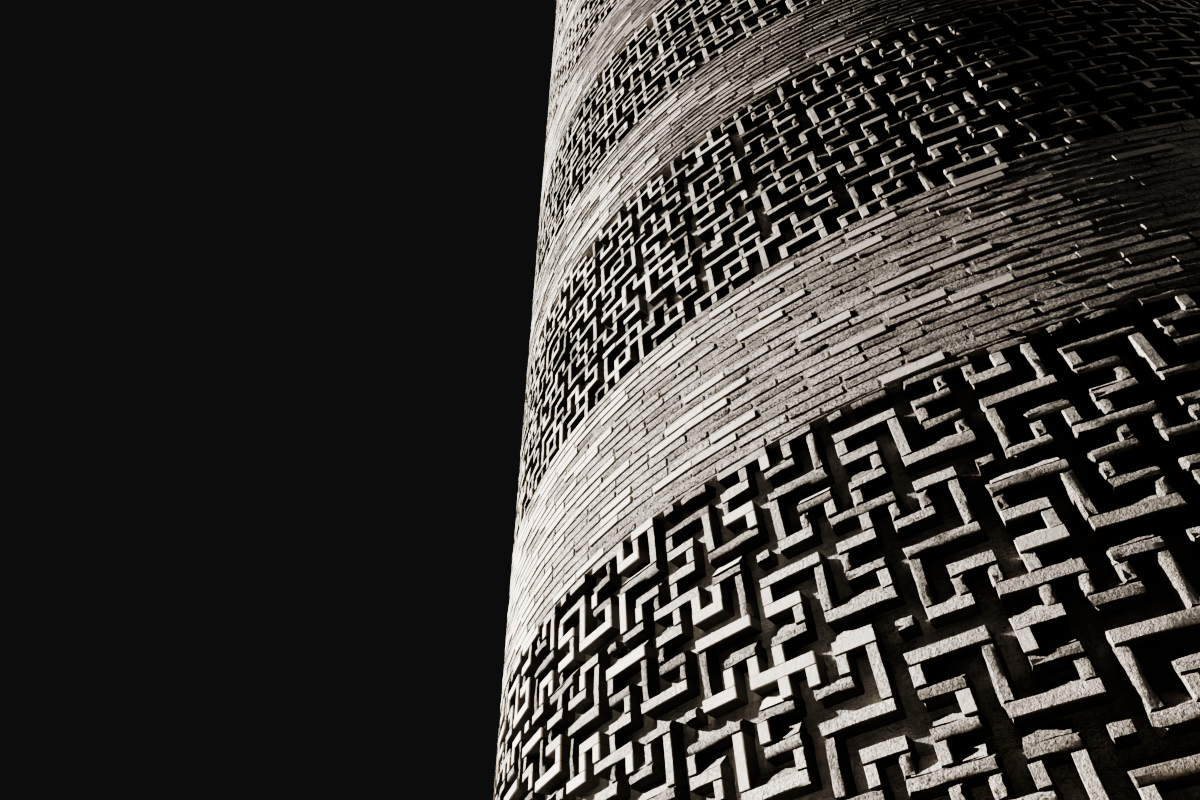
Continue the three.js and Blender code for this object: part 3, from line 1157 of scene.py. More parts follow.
@dataclass
class Ring:
    """The bed of mortar behind a band: a ring that may stop at the doorway."""

    shaft: Shaft
    inner_depth: float = 0.16
    steps: int = 288
    soft: float = math.radians(30)

    def solid(self, name: str, low: float, high: float, behind: float, door: Doorway) -> bpy.types.Object:
        """Makes the ring.

        Args:
            name: The object's name.
            low: Its lowest height.
            high: Its highest height.
            behind: How far its face lies behind the plain brickwork.
            door: The doorway that it stops at, where it meets it.

        Returns:
            The ring as one closed mesh, or two where it runs on over the doorway.
        """
        shape = bmesh.new()
        if low >= door.top or high <= door.foot:
            self.turn(shape, low, high, behind, None)
        elif high <= door.top:
            self.turn(shape, low, high, behind, door)
        else:
            self.turn(shape, low, door.top, behind, door)
            self.turn(shape, door.top, high, behind, None)
        return bpy.data.objects.new(name, finished(shape, name, self.soft))

    def turn(self, shape: bmesh.types.BMesh, low: float, high: float, behind: float,
             door: Doorway | None) -> None:
        """Adds one closed stretch of the ring to a shape.

        Args:
            shape: The shape to add to.
            low: The stretch's lowest height.
            high: Its highest height.
            behind: How far its face lies behind the plain brickwork.
            door: The doorway that its two ends stop at, if it meets one.
        """
        loops = []
        profile = [(low, behind), (high, behind), (high, self.inner_depth), (low, self.inner_depth)]
        for height, depth in profile:
            radius = self.shaft.radius(height) - depth
            half = door.half_angle(radius) if door else 0.0
            start, sweep = math.pi + half, FULL_TURN - 2 * half
            count = self.steps + (1 if door else 0)
            angles = [start + sweep * step / self.steps for step in range(count)]
            loops.append([shape.verts.new(self.shaft.point(angle, radius, height)) for angle in angles])
        sides = len(loops[0])
        for here, there in zip(loops, loops[1:] + loops[:1]):
            for step in range(sides if not door else sides - 1):
                after = (step + 1) % sides
                shape.faces.new([here[step], here[after], there[after], there[step]])
        if door:
            shape.faces.new([loop[0] for loop in loops])
            shape.faces.new([loop[-1] for loop in reversed(loops)])


# Bands


@dataclass(frozen=True)
class Weathering:
    """How many bricks of a stretch are crisp and eaten, which drifts over the tower.

    The windward side is eaten most, and so is the foot, where damp rises. Nearer to the axis
    than the core, the side fades out.
    """

    crisp: float = 0.50
    eaten: float = 0.12
    patches: float = 0.35
    patch_fineness: float = 0.55
    side: float = 1.0
    core: float = 0.1
    windward: float = math.radians(60)
    repaired: float = 0.05
    damp: float = 0.12
    damp_top: float = 4.4
    damp_depth: float = 1.5

    def pick(self, dice: random.Random, spot: Vector) -> Wear:
        """Chooses a brick's wear from where it lies.

        Args:
            dice: The source of chance.
            spot: Where the brick lies.

        Returns:
            Its wear.
        """
        out = max(self.core, math.hypot(spot.x, spot.y))
        lee = (spot.x * math.sin(self.windward) - spot.y * math.cos(self.windward)) / out
        drift = self.patches * noise.noise(spot * self.patch_fineness) + self.side * lee
        drift += self.damp * min(self.damp_depth, max(0.0, self.damp_top - spot.z))
        chance = dice.random()
        if chance < max(self.repaired, self.crisp - drift):
            return Wear.CRISP
        if chance > 1 - self.eaten - drift:
            return Wear.EATEN
        return Wear.WORN


@dataclass
class Band:
    """What all bands share: the node that they dress, their place and the depth of their bed.

    A brick that the doorway cuts shorter than the shortest is left out.
    """

    node: str
    shaft: Shaft
    shop: Mouldshop
    door: Doorway
    weathering: Weathering
    slot: str = "fret_brick"
    bed: float = 0.009
    shortest: float = 0.03

    def span(self) -> Interval:
        """The heights between which the band lies."""
        low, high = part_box(self.node)
        return low.z, high.z

    def lay(self, work: Brickwork) -> None:
        """Lays the bricks, which each band does in its own way."""
        raise NotImplementedError

    def build(self, layer: Bricklayer, brick: Finish, mortar: Finish) -> None:
        """Lays the band, beds it in a ring of mortar and dresses it.

        Args:
            layer: What turns its bricks into one mesh.
            brick: The bricks' finish.
            mortar: The bed's finish.
        """
        dice = random.Random(f"{SEED} {self.node}")
        work = Brickwork(f"{self.node}_bricks", self.shop, self.shaft, dice)
        self.lay(work)
        low, high = self.span()
        ground = Ring(self.shaft).solid(f"{self.node}_bed", low, high, self.bed, self.door)
        tell(layer.build(work, ground, brick, mortar), self.slot, self.node)

    def lay_run(self, work: Brickwork, kind: Kind, span: Interval, radius: float, height: float,
                tall: float) -> None:
        """Lays one brick between two angles, less what the doorway takes.

        Args:
            work: The brickwork to add to.
            kind: The brick's kind.
            span: The angles of its ends.
            radius: The radius of its face.
            height: The height of its middle.
            tall: Its height.
        """
        for start, end in self.door.leaves(span, radius, height - tall / 2, height + tall / 2):
            length = (end - start) * radius
            if length < self.shortest:
                continue
            angle = (start + end) / 2
            spot = self.shaft.point(angle, radius, height)
            work.place(kind, self.weathering.pick(work.dice, spot), spot, angle, (length, tall))


@dataclass
class PlainBand(Band):
    """Plain courses, laid in pairs whose upright joints line up.

    The last four fields are how far a course, a brick's place along it, its thickness and its
    height stray, the first in bricks and the others in metres.
    """

    slot: str = "facing_brick"
    course: float = 0.063
    brick: float = 0.281
    joint: float = 0.017
    gap: float = 0.010
    bond: float = 0.5
    course_strays: float = 0.06
    place_strays: float = 0.004
    thickness_strays: float = 0.003
    height_strays: float = 0.002

    def lay(self, work: Brickwork) -> None:
        """Lays the courses from the top down.

        Args:
            work: The brickwork to add to.
        """
        low, high = self.span()
        courses = max(1, round((high - low) / self.course))
        pitch = (high - low) / courses
        bricks = round(FULL_TURN * self.shaft.radius((low + high) / 2) / self.brick)
        step = FULL_TURN / bricks
        for course in range(courses):
            height = high - pitch * (course + 0.5)
            radius = self.shaft.radius(height)
            shift = self.bond * (course // 2 % 2) + self.course_strays * work.dice.uniform(-1, 1)
            slack = self.gap / radius / 2
            for number in range(bricks):
                left = (number + shift) * step
                wander = work.dice.gauss(0, self.place_strays) / radius
                span = (left + slack + wander, left + step - slack + wander)
                tall = pitch - self.joint + work.dice.gauss(0, self.thickness_strays)
                middle = height + work.dice.gauss(0, self.height_strays)
                self.lay_run(work, Kind.STRETCHER, span, radius, middle, tall)


@dataclass(frozen=True)
class FretDesign:
    """One repeat of a fret on its grid, drawn from the top row down.

    A dash in a row of along is a rib from that column to the next, and a bar in a row of up is
    a rib on that column down to the next row. Each time the rows repeat, the design moves on by
    shift columns.
    """

    along: tuple[str, ...]
    up: tuple[str, ...]
    shift: int = 0

    def at(self, rows: tuple[str, ...], row: int, column: int) -> bool:
        """Finds out whether the drawing holds a rib.

        Args:
            rows: The drawing of the lying or the standing ribs.
            row: The row, which may lie past the drawing.
            column: The column, which may too.

        Returns:
            Whether there is one.
        """
        repeat, place = divmod(row, len(rows))
        line = rows[place]
        return line[(column - repeat * self.shift) % len(line)] != "."


HOOKED_KEYS = FretDesign(
    along=("..-.--.-", ".--.-.-.", ".-..-.--", ".-.--..-"),
    up=("|....|||", "||.||...", "..||.||.", "||....||"),
    shift=4,
)
CROSSED_KEYS = FretDesign(
    along=("-.-.---.", "--.---..", ".--..---", "-.-.---.", "---.-.-.", ".---.--.", "--..--.-", "---.-.-."),
    up=("|.||||.|", ".||.||||", "||.||.||", "..|...|.", "|.||||.|", "||||.||.", "||.||.||", ".|...|.."),
)
LINKED_SQUARES = FretDesign(
    along=("--.---", ".-..-.", "-----.", "-.----", "..-..-", "----.-"),
    up=("||||..", "|..|||", "||.||.", ".||||.", "||..||", "||.||."),
)
PLUS_AND_KEY = FretDesign(
    along=("--.", ".--", ".--"),
    up=("||.", "..|", "||."),
    shift=2,
)


@dataclass
class FretBand(Band):
    """Ribs of brick standing on a recessed ground, after a fret design.

    Filled is the share of lying ribs with mortar on top, as tall as the fillet times its share
    and as far behind the face as its depth. A knob is a lone brick where no rib meets a place
    of the grid, and its field gives how far its ends are from there, in half posts.
    """

    design: FretDesign = HOOKED_KEYS
    columns: int = 224
    rows: int = 15
    first_row: int = 0
    first_angle: float = 0.0
    edges_drawn: bool = False
    bed: float = 0.078
    rib: float = 0.051
    post: float = 0.047
    joint: float = 0.0025
    short_first: float = 0.5
    thickness_strays: float = 0.0015
    knob: Interval = (0.8, 1.9)
    filled: float = 0.46
    fillet: float = 0.075
    fillet_share: Interval = (0.7, 1.1)
    fillet_depth: Interval = (0.004, 0.016)
    fillet_inset: float = 0.06

    def heights(self) -> list[float]:
        """Works out the heights of the grid's rows.

        Returns:
            The heights, from the top down.
        """
        low, high = self.span()
        margin = self.rib / 2 if self.edges_drawn else -self.rib / 2
        top, foot = high - margin, low + margin
        gaps = self.rows - 1 if self.edges_drawn else self.rows
        return [top + (foot - top) * row / gaps for row in range(gaps + 1)]

    def along(self, row: int, column: int) -> bool:
        """Whether a rib runs from a column to the next."""
        return self.design.at(self.design.along, row + self.first_row, column)

    def up(self, row: int, column: int) -> bool:
        """Whether a rib runs from a row down to the next."""
        return self.design.at(self.design.up, row + self.first_row, column)

    def covered(self, row: int, column: int, last: int) -> bool:
        """Finds out whether a lying rib, or the plain band next door, covers a place on the grid.

        Args:
            row: The place's row.
            column: Its column.
            last: The number of the lowest row.

        Returns:
            Whether it is covered.
        """
        if not self.edges_drawn and row in (0, last):
            return True
        return self.along(row, column) or self.along(row, column - 1)

    def angle(self, column: int) -> float:
        """The angle of a column."""
        return self.first_angle + column * FULL_TURN / self.columns

    def lay(self, work: Brickwork) -> None:
        """Lays the lying ribs and then the standing ones.

        Args:
            work: The brickwork to add to.
        """
        heights = self.heights()
        last = len(heights) - 1
        for row, height in enumerate(heights):
            if self.edges_drawn or 0 < row < last:
                self.lay_row(work, row, height)
                self.lay_knobs(work, row, height)
        for column in range(self.columns):
            self.lay_column(work, column, heights)

    def lay_row(self, work: Brickwork, row: int, height: float) -> None:
        """Lays the lying ribs of one row: each run in bricks of two columns or one.

        Args:
            work: The brickwork to add to.
            row: The row.
            height: Its height.
        """
        radius = self.shaft.radius(height)
        reach = self.post / 2 / radius
        slack = self.joint / 2 / radius
        for column in range(self.columns):
            if not self.along(row, column) or self.along(row, column - 1):
                continue
            past = column + 1
            while self.along(row, past) and past < column + self.columns:
                past += 1
            at = column
            while at < past:
                left = past - at
                take = 1 if left == 1 or (left == 3 and work.dice.random() < self.short_first) else 2
                start = self.angle(at) + (slack if at > column else -reach)
                end = self.angle(at + take) + (-slack if at + take < past else reach)
                kind = Kind.RIB if take == 2 else Kind.RIB_STUB
                tall = self.rib + work.dice.gauss(0, self.thickness_strays)
                self.lay_run(work, kind, (start, end), radius, height, tall)
                if work.dice.random() < self.filled:
                    self.lay_fillet(work, (start, end), height + self.rib / 2)
                at += take

    def lay_knobs(self, work: Brickwork, row: int, height: float) -> None:
        """Lays a knob where no rib meets a row, so that no place of the grid is bare.

        Args:
            work: The brickwork to add to.
            row: The row.
            height: Its height.
        """
        radius = self.shaft.radius(height)
        reach = self.post / 2 / radius
        for column in range(self.columns):
            lone = not (self.along(row, column) or self.along(row, column - 1))
            if lone and not self.up(row, column) and not self.up(row - 1, column):
                angle = self.angle(column)
                span = (angle - self.knob[0] * reach, angle + self.knob[1] * reach)
                self.lay_run(work, Kind.RIB_STUB, span, radius, height, self.rib)

    def lay_fillet(self, work: Brickwork, span: Interval, foot: float) -> None:
        """Lays the sloping mortar that weather has left on a lying rib.

        Args:
            work: The brickwork to add to.
            span: The angles of the rib's ends.
            foot: The height of its top.
        """
        tall = self.fillet * work.dice.uniform(*self.fillet_share)
        middle = foot + tall / 2
        radius = self.shaft.radius(middle) - work.dice.uniform(*self.fillet_depth)
        inset = (span[1] - span[0]) * self.fillet_inset
        ends = (span[0] + inset, span[1] - inset)
        self.lay_run(work, Kind.FILLET, ends, radius, middle, tall)

    def lay_column(self, work: Brickwork, column: int, heights: list[float]) -> None:
        """Lays the standing ribs of one column, between the lying ones that they meet.

        Args:
            work: The brickwork to add to.
            column: The column.
            heights: The rows' heights.
        """
        last = len(heights) - 1
        row = 0
        while row < last:
            if not self.up(row, column):
                row += 1
                continue
            end = row + 1
            if end < last and self.up(end, column) and not self.covered(end, column, last):
                end += 1
            top = self.stop(row, column, heights, -1)
            foot = self.stop(end, column, heights, 1)
            height = (top + foot) / 2
            radius = self.shaft.radius(height)
            half = self.post / 2 / radius
            kind = Kind.POST if end - row == 2 else Kind.POST_STUB
            span = (self.angle(column) - half, self.angle(column) + half)
            self.lay_run(work, kind, span, radius, height, top - foot)
            row = end

    def stop(self, row: int, column: int, heights: list[float], way: int) -> float:
        """Where a standing rib stops at a row.

        Args:
            row: The row.
            column: The rib's column.
            heights: The rows' heights.
            way: -1 for the rib's upper end, 1 for its lower end.

        Returns:
            The height of that end.
        """
        last = len(heights) - 1
        half = self.rib / 2
        if self.covered(row, column, last):
            return heights[row] + way * (half + self.joint / 2)
        beyond = row if way > 0 else row - 1
        if 0 <= beyond < last and self.up(beyond, column):
            return heights[row] + way * self.joint / 2
        return heights[row] - way * half


@dataclass
class FriezeBand(Band):
    """A row of small square panels, each with a raised block in it."""

    panels: int = 66
    panel_share: float = 0.66
    block_share: float = 0.26
    courses: int = 9
    bed: float = 0.09
    joint: float = 0.008

    def lay(self, work: Brickwork) -> None:
        """Lays the edges of the panels, the piers between them and the blocks.

        Args:
            work: The brickwork to add to.
        """
        low, high = self.span()
        pitch = (high - low) / self.courses
        tall = pitch - self.joint
        step = FULL_TURN / self.panels
        pier = step * (1 - self.panel_share)
        half = step * self.block_share / 2
        for course in range(self.courses):
            height = high - pitch * (course + 0.5)
            radius = self.shaft.radius(height)
            slack = self.joint / 2 / radius
            edge = course in (0, self.courses - 1)
            middle = abs(course - self.courses // 2) <= 1
            for panel in range(self.panels):
                left = panel * step
                end = left + step if edge else left + pier
                self.lay_run(work, Kind.RIB, (left + slack, end - slack), radius, height, tall)
                if middle:
                    centre = left + pier + step * self.panel_share / 2
                    self.lay_run(work, Kind.RIB_STUB, (centre - half, centre + half), radius, height, tall)


# Dressings


@dataclass(frozen=True)
class Arch:
    """The pointed arch of a niche or an opening, drawn as the model draws it."""

    half_width: float
    foot: float
    spring: float
    past: float

    @property
    def reach(self) -> float:
        """The radius of each side's curve, which is centred past the middle."""
        return self.half_width + self.past

    @classmethod
    def pointed(cls, half_width: float, foot: float, spring: float) -> "Arch":
        """The arch of this tower's point, from its half width and its heights."""
        return cls(half_width, foot, spring, half_width * ARCH_POINT)

    def wider(self, by: float) -> "Arch":
        """The same arch, drawn round the outside of its ring of bricks."""
        return Arch(self.half_width + by, self.foot, self.spring, self.past)

    def taken(self, height: float, ring: float) -> float:
        """Half of what the arch, with the ring round its point, takes out of a course."""
        return self.wider(ring).half(height) if height > self.spring else self.half(height)

    def half(self, height: float) -> float:
        """Measures the arch at a height.

        Args:
            height: The height.

        Returns:
            Half its width, which is nothing below its foot or above its crown.
        """
        if height < self.foot:
            return 0.0
        if height <= self.spring:
            return self.half_width
        rise = min(self.reach, height - self.spring)
        return max(0.0, math.sqrt(self.reach ** 2 - rise ** 2) - self.past)

    def voussoirs(self, tall: float, thick: float) -> Iterator[tuple[float, float, float]]:
        """Places the bricks that stand round the arch.

        Args:
            tall: Their length away from the opening.
            thick: Their width along the curve, with a joint.

        Yields:
            How far across and how high each one's middle is, and its turn in the face.
        """
        crown = math.acos(self.past / self.reach)
        middle = self.reach + tall / 2
        count = max(1, round(crown * self.reach / thick))
        for side in (-1, 1):
            for number in range(count):
                angle = crown * (number + 0.5) / count
                across = middle * math.cos(angle) - self.past
                yield side * across, self.spring + middle * math.sin(angle), side * (math.pi / 2 - angle)


def divide(span: Interval, brick: float, shift: float) -> list[Interval]:
    """Divides a course into bricks on a grid that all courses share.

    Args:
        span: Where the course starts and ends.
        brick: A brick's length with its joint.
        shift: How far the grid is moved along, as a share of a brick.

    Returns:
        The bricks, with no end piece shorter than a quarter.
    """
    start, end = span
    shortest = brick / 4
    cuts = [start]
    place = (math.floor(start / brick - shift) + 1 + shift) * brick
    while place < end:
        cuts.append(place)
        place += brick
    cuts.append(end)
    if len(cuts) > 2 and cuts[1] - cuts[0] < shortest:
        cuts.pop(1)
    if len(cuts) > 2 and cuts[-1] - cuts[-2] < shortest:
        cuts.pop(-2)
    return list(zip(cuts, cuts[1:]))


@dataclass
class Dressing:
    """Bricks laid over a part of the model, which shows as the mortar between them.

    The course and the brick are a brick's height and length with its joint, proud is how far it
    stands out of the model, and the ring is the length of the bricks round an arch. The bond is
    how far every other course is moved along, in bricks, and fewest is the least in a ring.
    """

    name: str
    shaft: Shaft
    shop: Mouldshop
    slot: str = "facing_brick"
    weathering: Weathering = Weathering(0.60, 0.10, side=0.15, damp=0.05)
    course: float = 0.065
    brick: float = 0.27
    joint: float = 0.010
    proud: float = 0.005
    ring: float = 0.235
    bond: float = 0.5
    fewest: int = 3

    def turn(self, radius: float) -> float:
        """The angle of one brick in a ring, which holds a whole number of them."""
        return FULL_TURN / max(self.fewest, round(FULL_TURN * radius / self.brick))

    def courses(self, low: float, high: float) -> Iterator[tuple[int, float, float]]:
        """Divides a wall into courses.

        Args:
            low: The wall's foot.
            high: Its top.

        Yields:
            Each course's number, the height of its middle and its bricks' height.
        """
        count = max(1, round((high - low) / self.course))
        pitch = (high - low) / count
        for number in range(count):
            yield number, low + pitch * (number + 0.5), pitch - self.joint

    def lay(self, work: Brickwork) -> None:
        """Lays the bricks, which each dressing does in its own way."""
        raise NotImplementedError

    def set_brick(self, work: Brickwork, kind: Kind, spot: Vector, angle: float, size: tuple[float, float],
                  lean: float = 0.0, roll: float = 0.0) -> None:
        """Sets one brick of the wear that its place gives it."""
        work.place(kind, self.weathering.pick(work.dice, spot), spot, angle, size, lean, roll)

    def build(self, layer: Bricklayer, brick: Finish, mortar: Finish) -> None:
        """Lays the piece and dresses it.

        Args:
            layer: What turns its bricks into one mesh.
            brick: The bricks' finish.
            mortar: The finish of a bed, which these pieces leave to the model.
        """
        work = Brickwork(self.name, self.shop, self.shaft, random.Random(f"{SEED} {self.name}"))
        self.lay(work)
        tell(layer.build(work, None, brick, mortar), self.slot)


@dataclass
class FlatWalls(Dressing):
    """Courses on like flat walls round the tower, each with a niche or a doorway in its middle."""

    facings: tuple[float, ...] = ()
    distance: float = 1.0
    half_width: float = 1.0
    low: float = 0.0
    high: float = 1.0
    arch: Arch | None = None
    niche: float = 0.0
    kind: Kind = Kind.STRETCHER

    def lay(self, work: Brickwork) -> None:
        """Lays every wall, and the back of its niche if it has one.

        Args:
            work: The brickwork to add to.
        """
        for facing in self.facings:
            for number, height, tall in self.courses(self.low, self.high):
                for span in self.outside(height):
                    self.lay_course(work, facing, self.distance + self.proud, span, number, height, tall)
            if not self.arch:
                continue
            for across, height, roll in self.arch.voussoirs(self.ring, self.course):
                size = (self.course - self.joint, self.ring)
                spot = self.spot(facing, self.distance + 2 * self.proud, across, height)
                self.set_brick(work, Kind.SOLDIER, spot, facing, size, roll=roll)
            if self.niche:
                self.lay_niche(work, facing)

    def lay_niche(self, work: Brickwork, facing: float) -> None:
        """Lays the back of a niche.

        Args:
            work: The brickwork to add to.
            facing: Which way its wall faces.
        """
        distance = self.distance - self.niche + self.proud
        for number, height, tall in self.courses(self.arch.foot, self.arch.spring + self.arch.reach):
            half = self.arch.half(height) - self.joint
            if half > self.brick / 2:
                self.lay_course(work, facing, distance, (-half, half), number, height, tall)

    def outside(self, height: float) -> list[Interval]:
        """Cuts the arch and its ring out of a course.

        Args:
            height: The course's height.

        Returns:
            What is left of it, across the wall.
        """
        half = self.arch.taken(height, self.ring + self.joint) if self.arch else 0.0
        if not half:
            return [(-self.half_width, self.half_width)]
        return [(-self.half_width, -half), (half, self.half_width)]

    def lay_course(self, work: Brickwork, facing: float, distance: float, span: Interval, number: int,
                   height: float, tall: float) -> None:
        """Lays one stretch of a course.

        Args:
            work: The brickwork to add to.
            facing: Which way its wall faces.
            distance: How far the bricks' faces are from the axis.
            span: Where the stretch starts and ends, across the wall.
            number: The course's number.
            height: The height of its middle.
            tall: Its bricks' height.
        """
        for left, right in divide(span, self.brick, self.bond * (number % 2)):
            size = (right - left - self.joint, tall)
            spot = self.spot(facing, distance, (left + right) / 2, height)
            self.set_brick(work, self.kind, spot, facing, size)

    @staticmethod
    def spot(facing: float, distance: float, across: float, height: float) -> Vector:
        """Places a point of a wall.

        Args:
            facing: Which way the wall faces.
            distance: How far the point is from the axis, that way.
            across: How far it is across the wall.
            height: Its height.

        Returns:
            The point.
        """
        outwards = Vector((math.sin(facing), -math.cos(facing), 0))
        along = Vector((math.cos(facing), math.sin(facing), 0))
        return outwards * distance + along * across + Vector((0, 0, height))


@dataclass
class RoundWall(Dressing):
    """Courses on an upright round wall, with arches cut through it or a row of teeth under its top."""

    radius: float = 1.0
    low: float = 0.0
    high: float = 1.0
    arch: Arch | None = None
    bays: int = 8
    teeth: int = 0
    tooth: float = 0.030
    kind: Kind = Kind.STRETCHER

    def lay(self, work: Brickwork) -> None:
        """Lays the courses, the rings of the arches and the teeth.

        Args:
            work: The brickwork to add to.
        """
        radius = self.radius + self.proud
        count = len(list(self.courses(self.low, self.high)))
        for number, height, tall in self.courses(self.low, self.high):
            for span in self.spans(height):
                self.lay_course(work, radius, span, number, height, tall)
            if self.teeth and number == count - 2:
                self.lay_teeth(work, height, tall)
        if not self.arch:
            return
        for bay in range(self.bays):
            for across, height, roll in self.arch.voussoirs(self.ring, self.course):
                angle = bay * FULL_TURN / self.bays + across / radius
                spot = self.shaft.point(angle, radius + self.proud, height)
                size = (self.course - self.joint, self.ring)
                self.set_brick(work, Kind.SOLDIER, spot, angle, size, roll=roll)

    def spans(self, height: float) -> list[Interval]:
        """Cuts the arches and their rings out of a course.

        Args:
            height: The course's height.

        Returns:
            What is left of it, as angles.
        """
        half = self.arch.taken(height, self.ring + self.joint) if self.arch else 0.0
        if not half:
            return [(0.0, FULL_TURN)]
        bay = FULL_TURN / self.bays
        gap = math.asin(half / self.radius)
        return [(bay * number + gap, bay * (number + 1) - gap) for number in range(self.bays)]

    def lay_course(self, work: Brickwork, radius: float, span: Interval, number: int, height: float,
                   tall: float) -> None:
        """Lays one stretch of a course.

        Args:
            work: The brickwork to add to.
            radius: How far the bricks' faces are from the axis.
            span: The angles where the stretch starts and ends.
            number: The course's number.
            height: The height of its middle.
            tall: Its bricks' height.
        """
        for left, right in divide(span, self.turn(radius), self.bond * (number % 2)):
            size = ((right - left) * radius - self.joint, tall)
            angle = (left + right) / 2
            self.set_brick(work, self.kind, self.shaft.point(angle, radius, height), angle, size)

    def lay_teeth(self, work: Brickwork, height: float, tall: float) -> None:
        """Lays a row of teeth that stand out of a course.

        Args:
            work: The brickwork to add to.
            height: The height of the teeth's middles.
            tall: Their height.
        """
        radius = self.radius + self.tooth
        width = FULL_TURN * radius / self.teeth / 2
        for tooth in range(self.teeth):
            angle = FULL_TURN * tooth / self.teeth
            spot = self.shaft.point(angle, radius, height)
            self.set_brick(work, Kind.RIB_STUB, spot, angle, (width, tall))


@dataclass
class DomeCourses(Dressing):
    """Courses that climb the dome, each leaning in further than the last."""

    radius: float = 1.0
    base: float = 0.0
    rise: float = 1.0
    past: float = 0.26
    cap: float = 0.16
    fewest: int = 5

    def lay(self, work: Brickwork) -> None:
        """Lays the courses from the foot up to the bare cap.

        Args:
            work: The brickwork to add to.
        """
        reach = self.radius + self.past
        crown = math.acos(self.past / reach)
        flatness = self.rise / (reach * math.sin(crown))
        angle = 0.0
        number = 0
        while True:
            across = reach * math.cos(angle) - self.past
            lean = math.atan2(math.sin(angle), flatness * math.cos(angle))
            step = self.course / (reach * math.hypot(math.sin(angle), flatness * math.cos(angle)))
            if across < self.cap:
                break
            height = self.base + flatness * reach * math.sin(angle + step / 2)
            radius = reach * math.cos(angle + step / 2) - self.past + self.proud
            for left, right in divide((0.0, FULL_TURN), self.turn(radius), self.bond * (number % 2)):
                place = (left + right) / 2
                size = ((right - left) * radius - self.joint, self.course - self.joint)
                spot = self.shaft.point(place, radius, height)
                self.set_brick(work, Kind.STRETCHER, spot, place, size, lean=lean)
            angle += step
            number += 1


@dataclass
class Paving(Dressing):
    """Square paving bricks on the podium, round the octagon of the plinth."""

    half: float = 1.0
    top: float = 0.0
    inner: float = 0.5
    facings: tuple[float, ...] = ()
    slab: float = 0.267

    def lay(self, work: Brickwork) -> None:
        """Lays the slabs that reach out from under the plinth.

        Args:
            work: The brickwork to add to.
        """
        count = round(2 * self.half / self.slab)
        pitch = 2 * self.half / count
        size = (pitch - self.joint, pitch - self.joint)
        for column in range(count):
            for row in range(count):
                x = -self.half + pitch * (column + 0.5)
                y = -self.half + pitch * (row + 0.5)
                out = max(x * math.sin(facing) - y * math.cos(facing) for facing in self.facings)
                if out > self.inner - pitch / 2:
                    spot = Vector((x, y, self.top + self.proud))
                    self.set_brick(work, Kind.SLAB, spot, 0.0, size, lean=math.pi / 2)


# Studio


@dataclass(frozen=True)
class Viewpoint:
    """The camera close under the tower, looking up its left side."""

    place: tuple[float, float, float] = (0.0, -7.2248, 2.65)
    pitch: float = 0.764842
    yaw: float = -0.472122
    roll: float = -0.0993707
    lens: float = 25.23
    sensor: float = 36.0
    farthest: float = 400.0

    def build(self) -> None:
        """Makes the camera."""
        ahead = Vector((math.sin(self.yaw) * math.cos(self.pitch),
                        math.cos(self.yaw) * math.cos(self.pitch), math.sin(self.pitch)))
        right = Vector((math.cos(self.yaw), -math.sin(self.yaw), 0))
        up = right.cross(ahead)
        across = math.cos(self.roll) * right + math.sin(self.roll) * up
        over = math.cos(self.roll) * up - math.sin(self.roll) * right
        data = bpy.data.cameras.new("viewpoint")
        data.sensor_fit = "HORIZONTAL"
        data.sensor_width = self.sensor
        data.lens = self.lens
        data.clip_end = self.farthest
        camera = bpy.data.objects.new("viewpoint", data)
        bpy.context.scene.collection.objects.link(camera)
        axes = Matrix((across, over, -ahead)).transposed()
        camera.matrix_world = Matrix.Translation(self.place) @ axes.to_4x4()
        bpy.context.scene.camera = camera


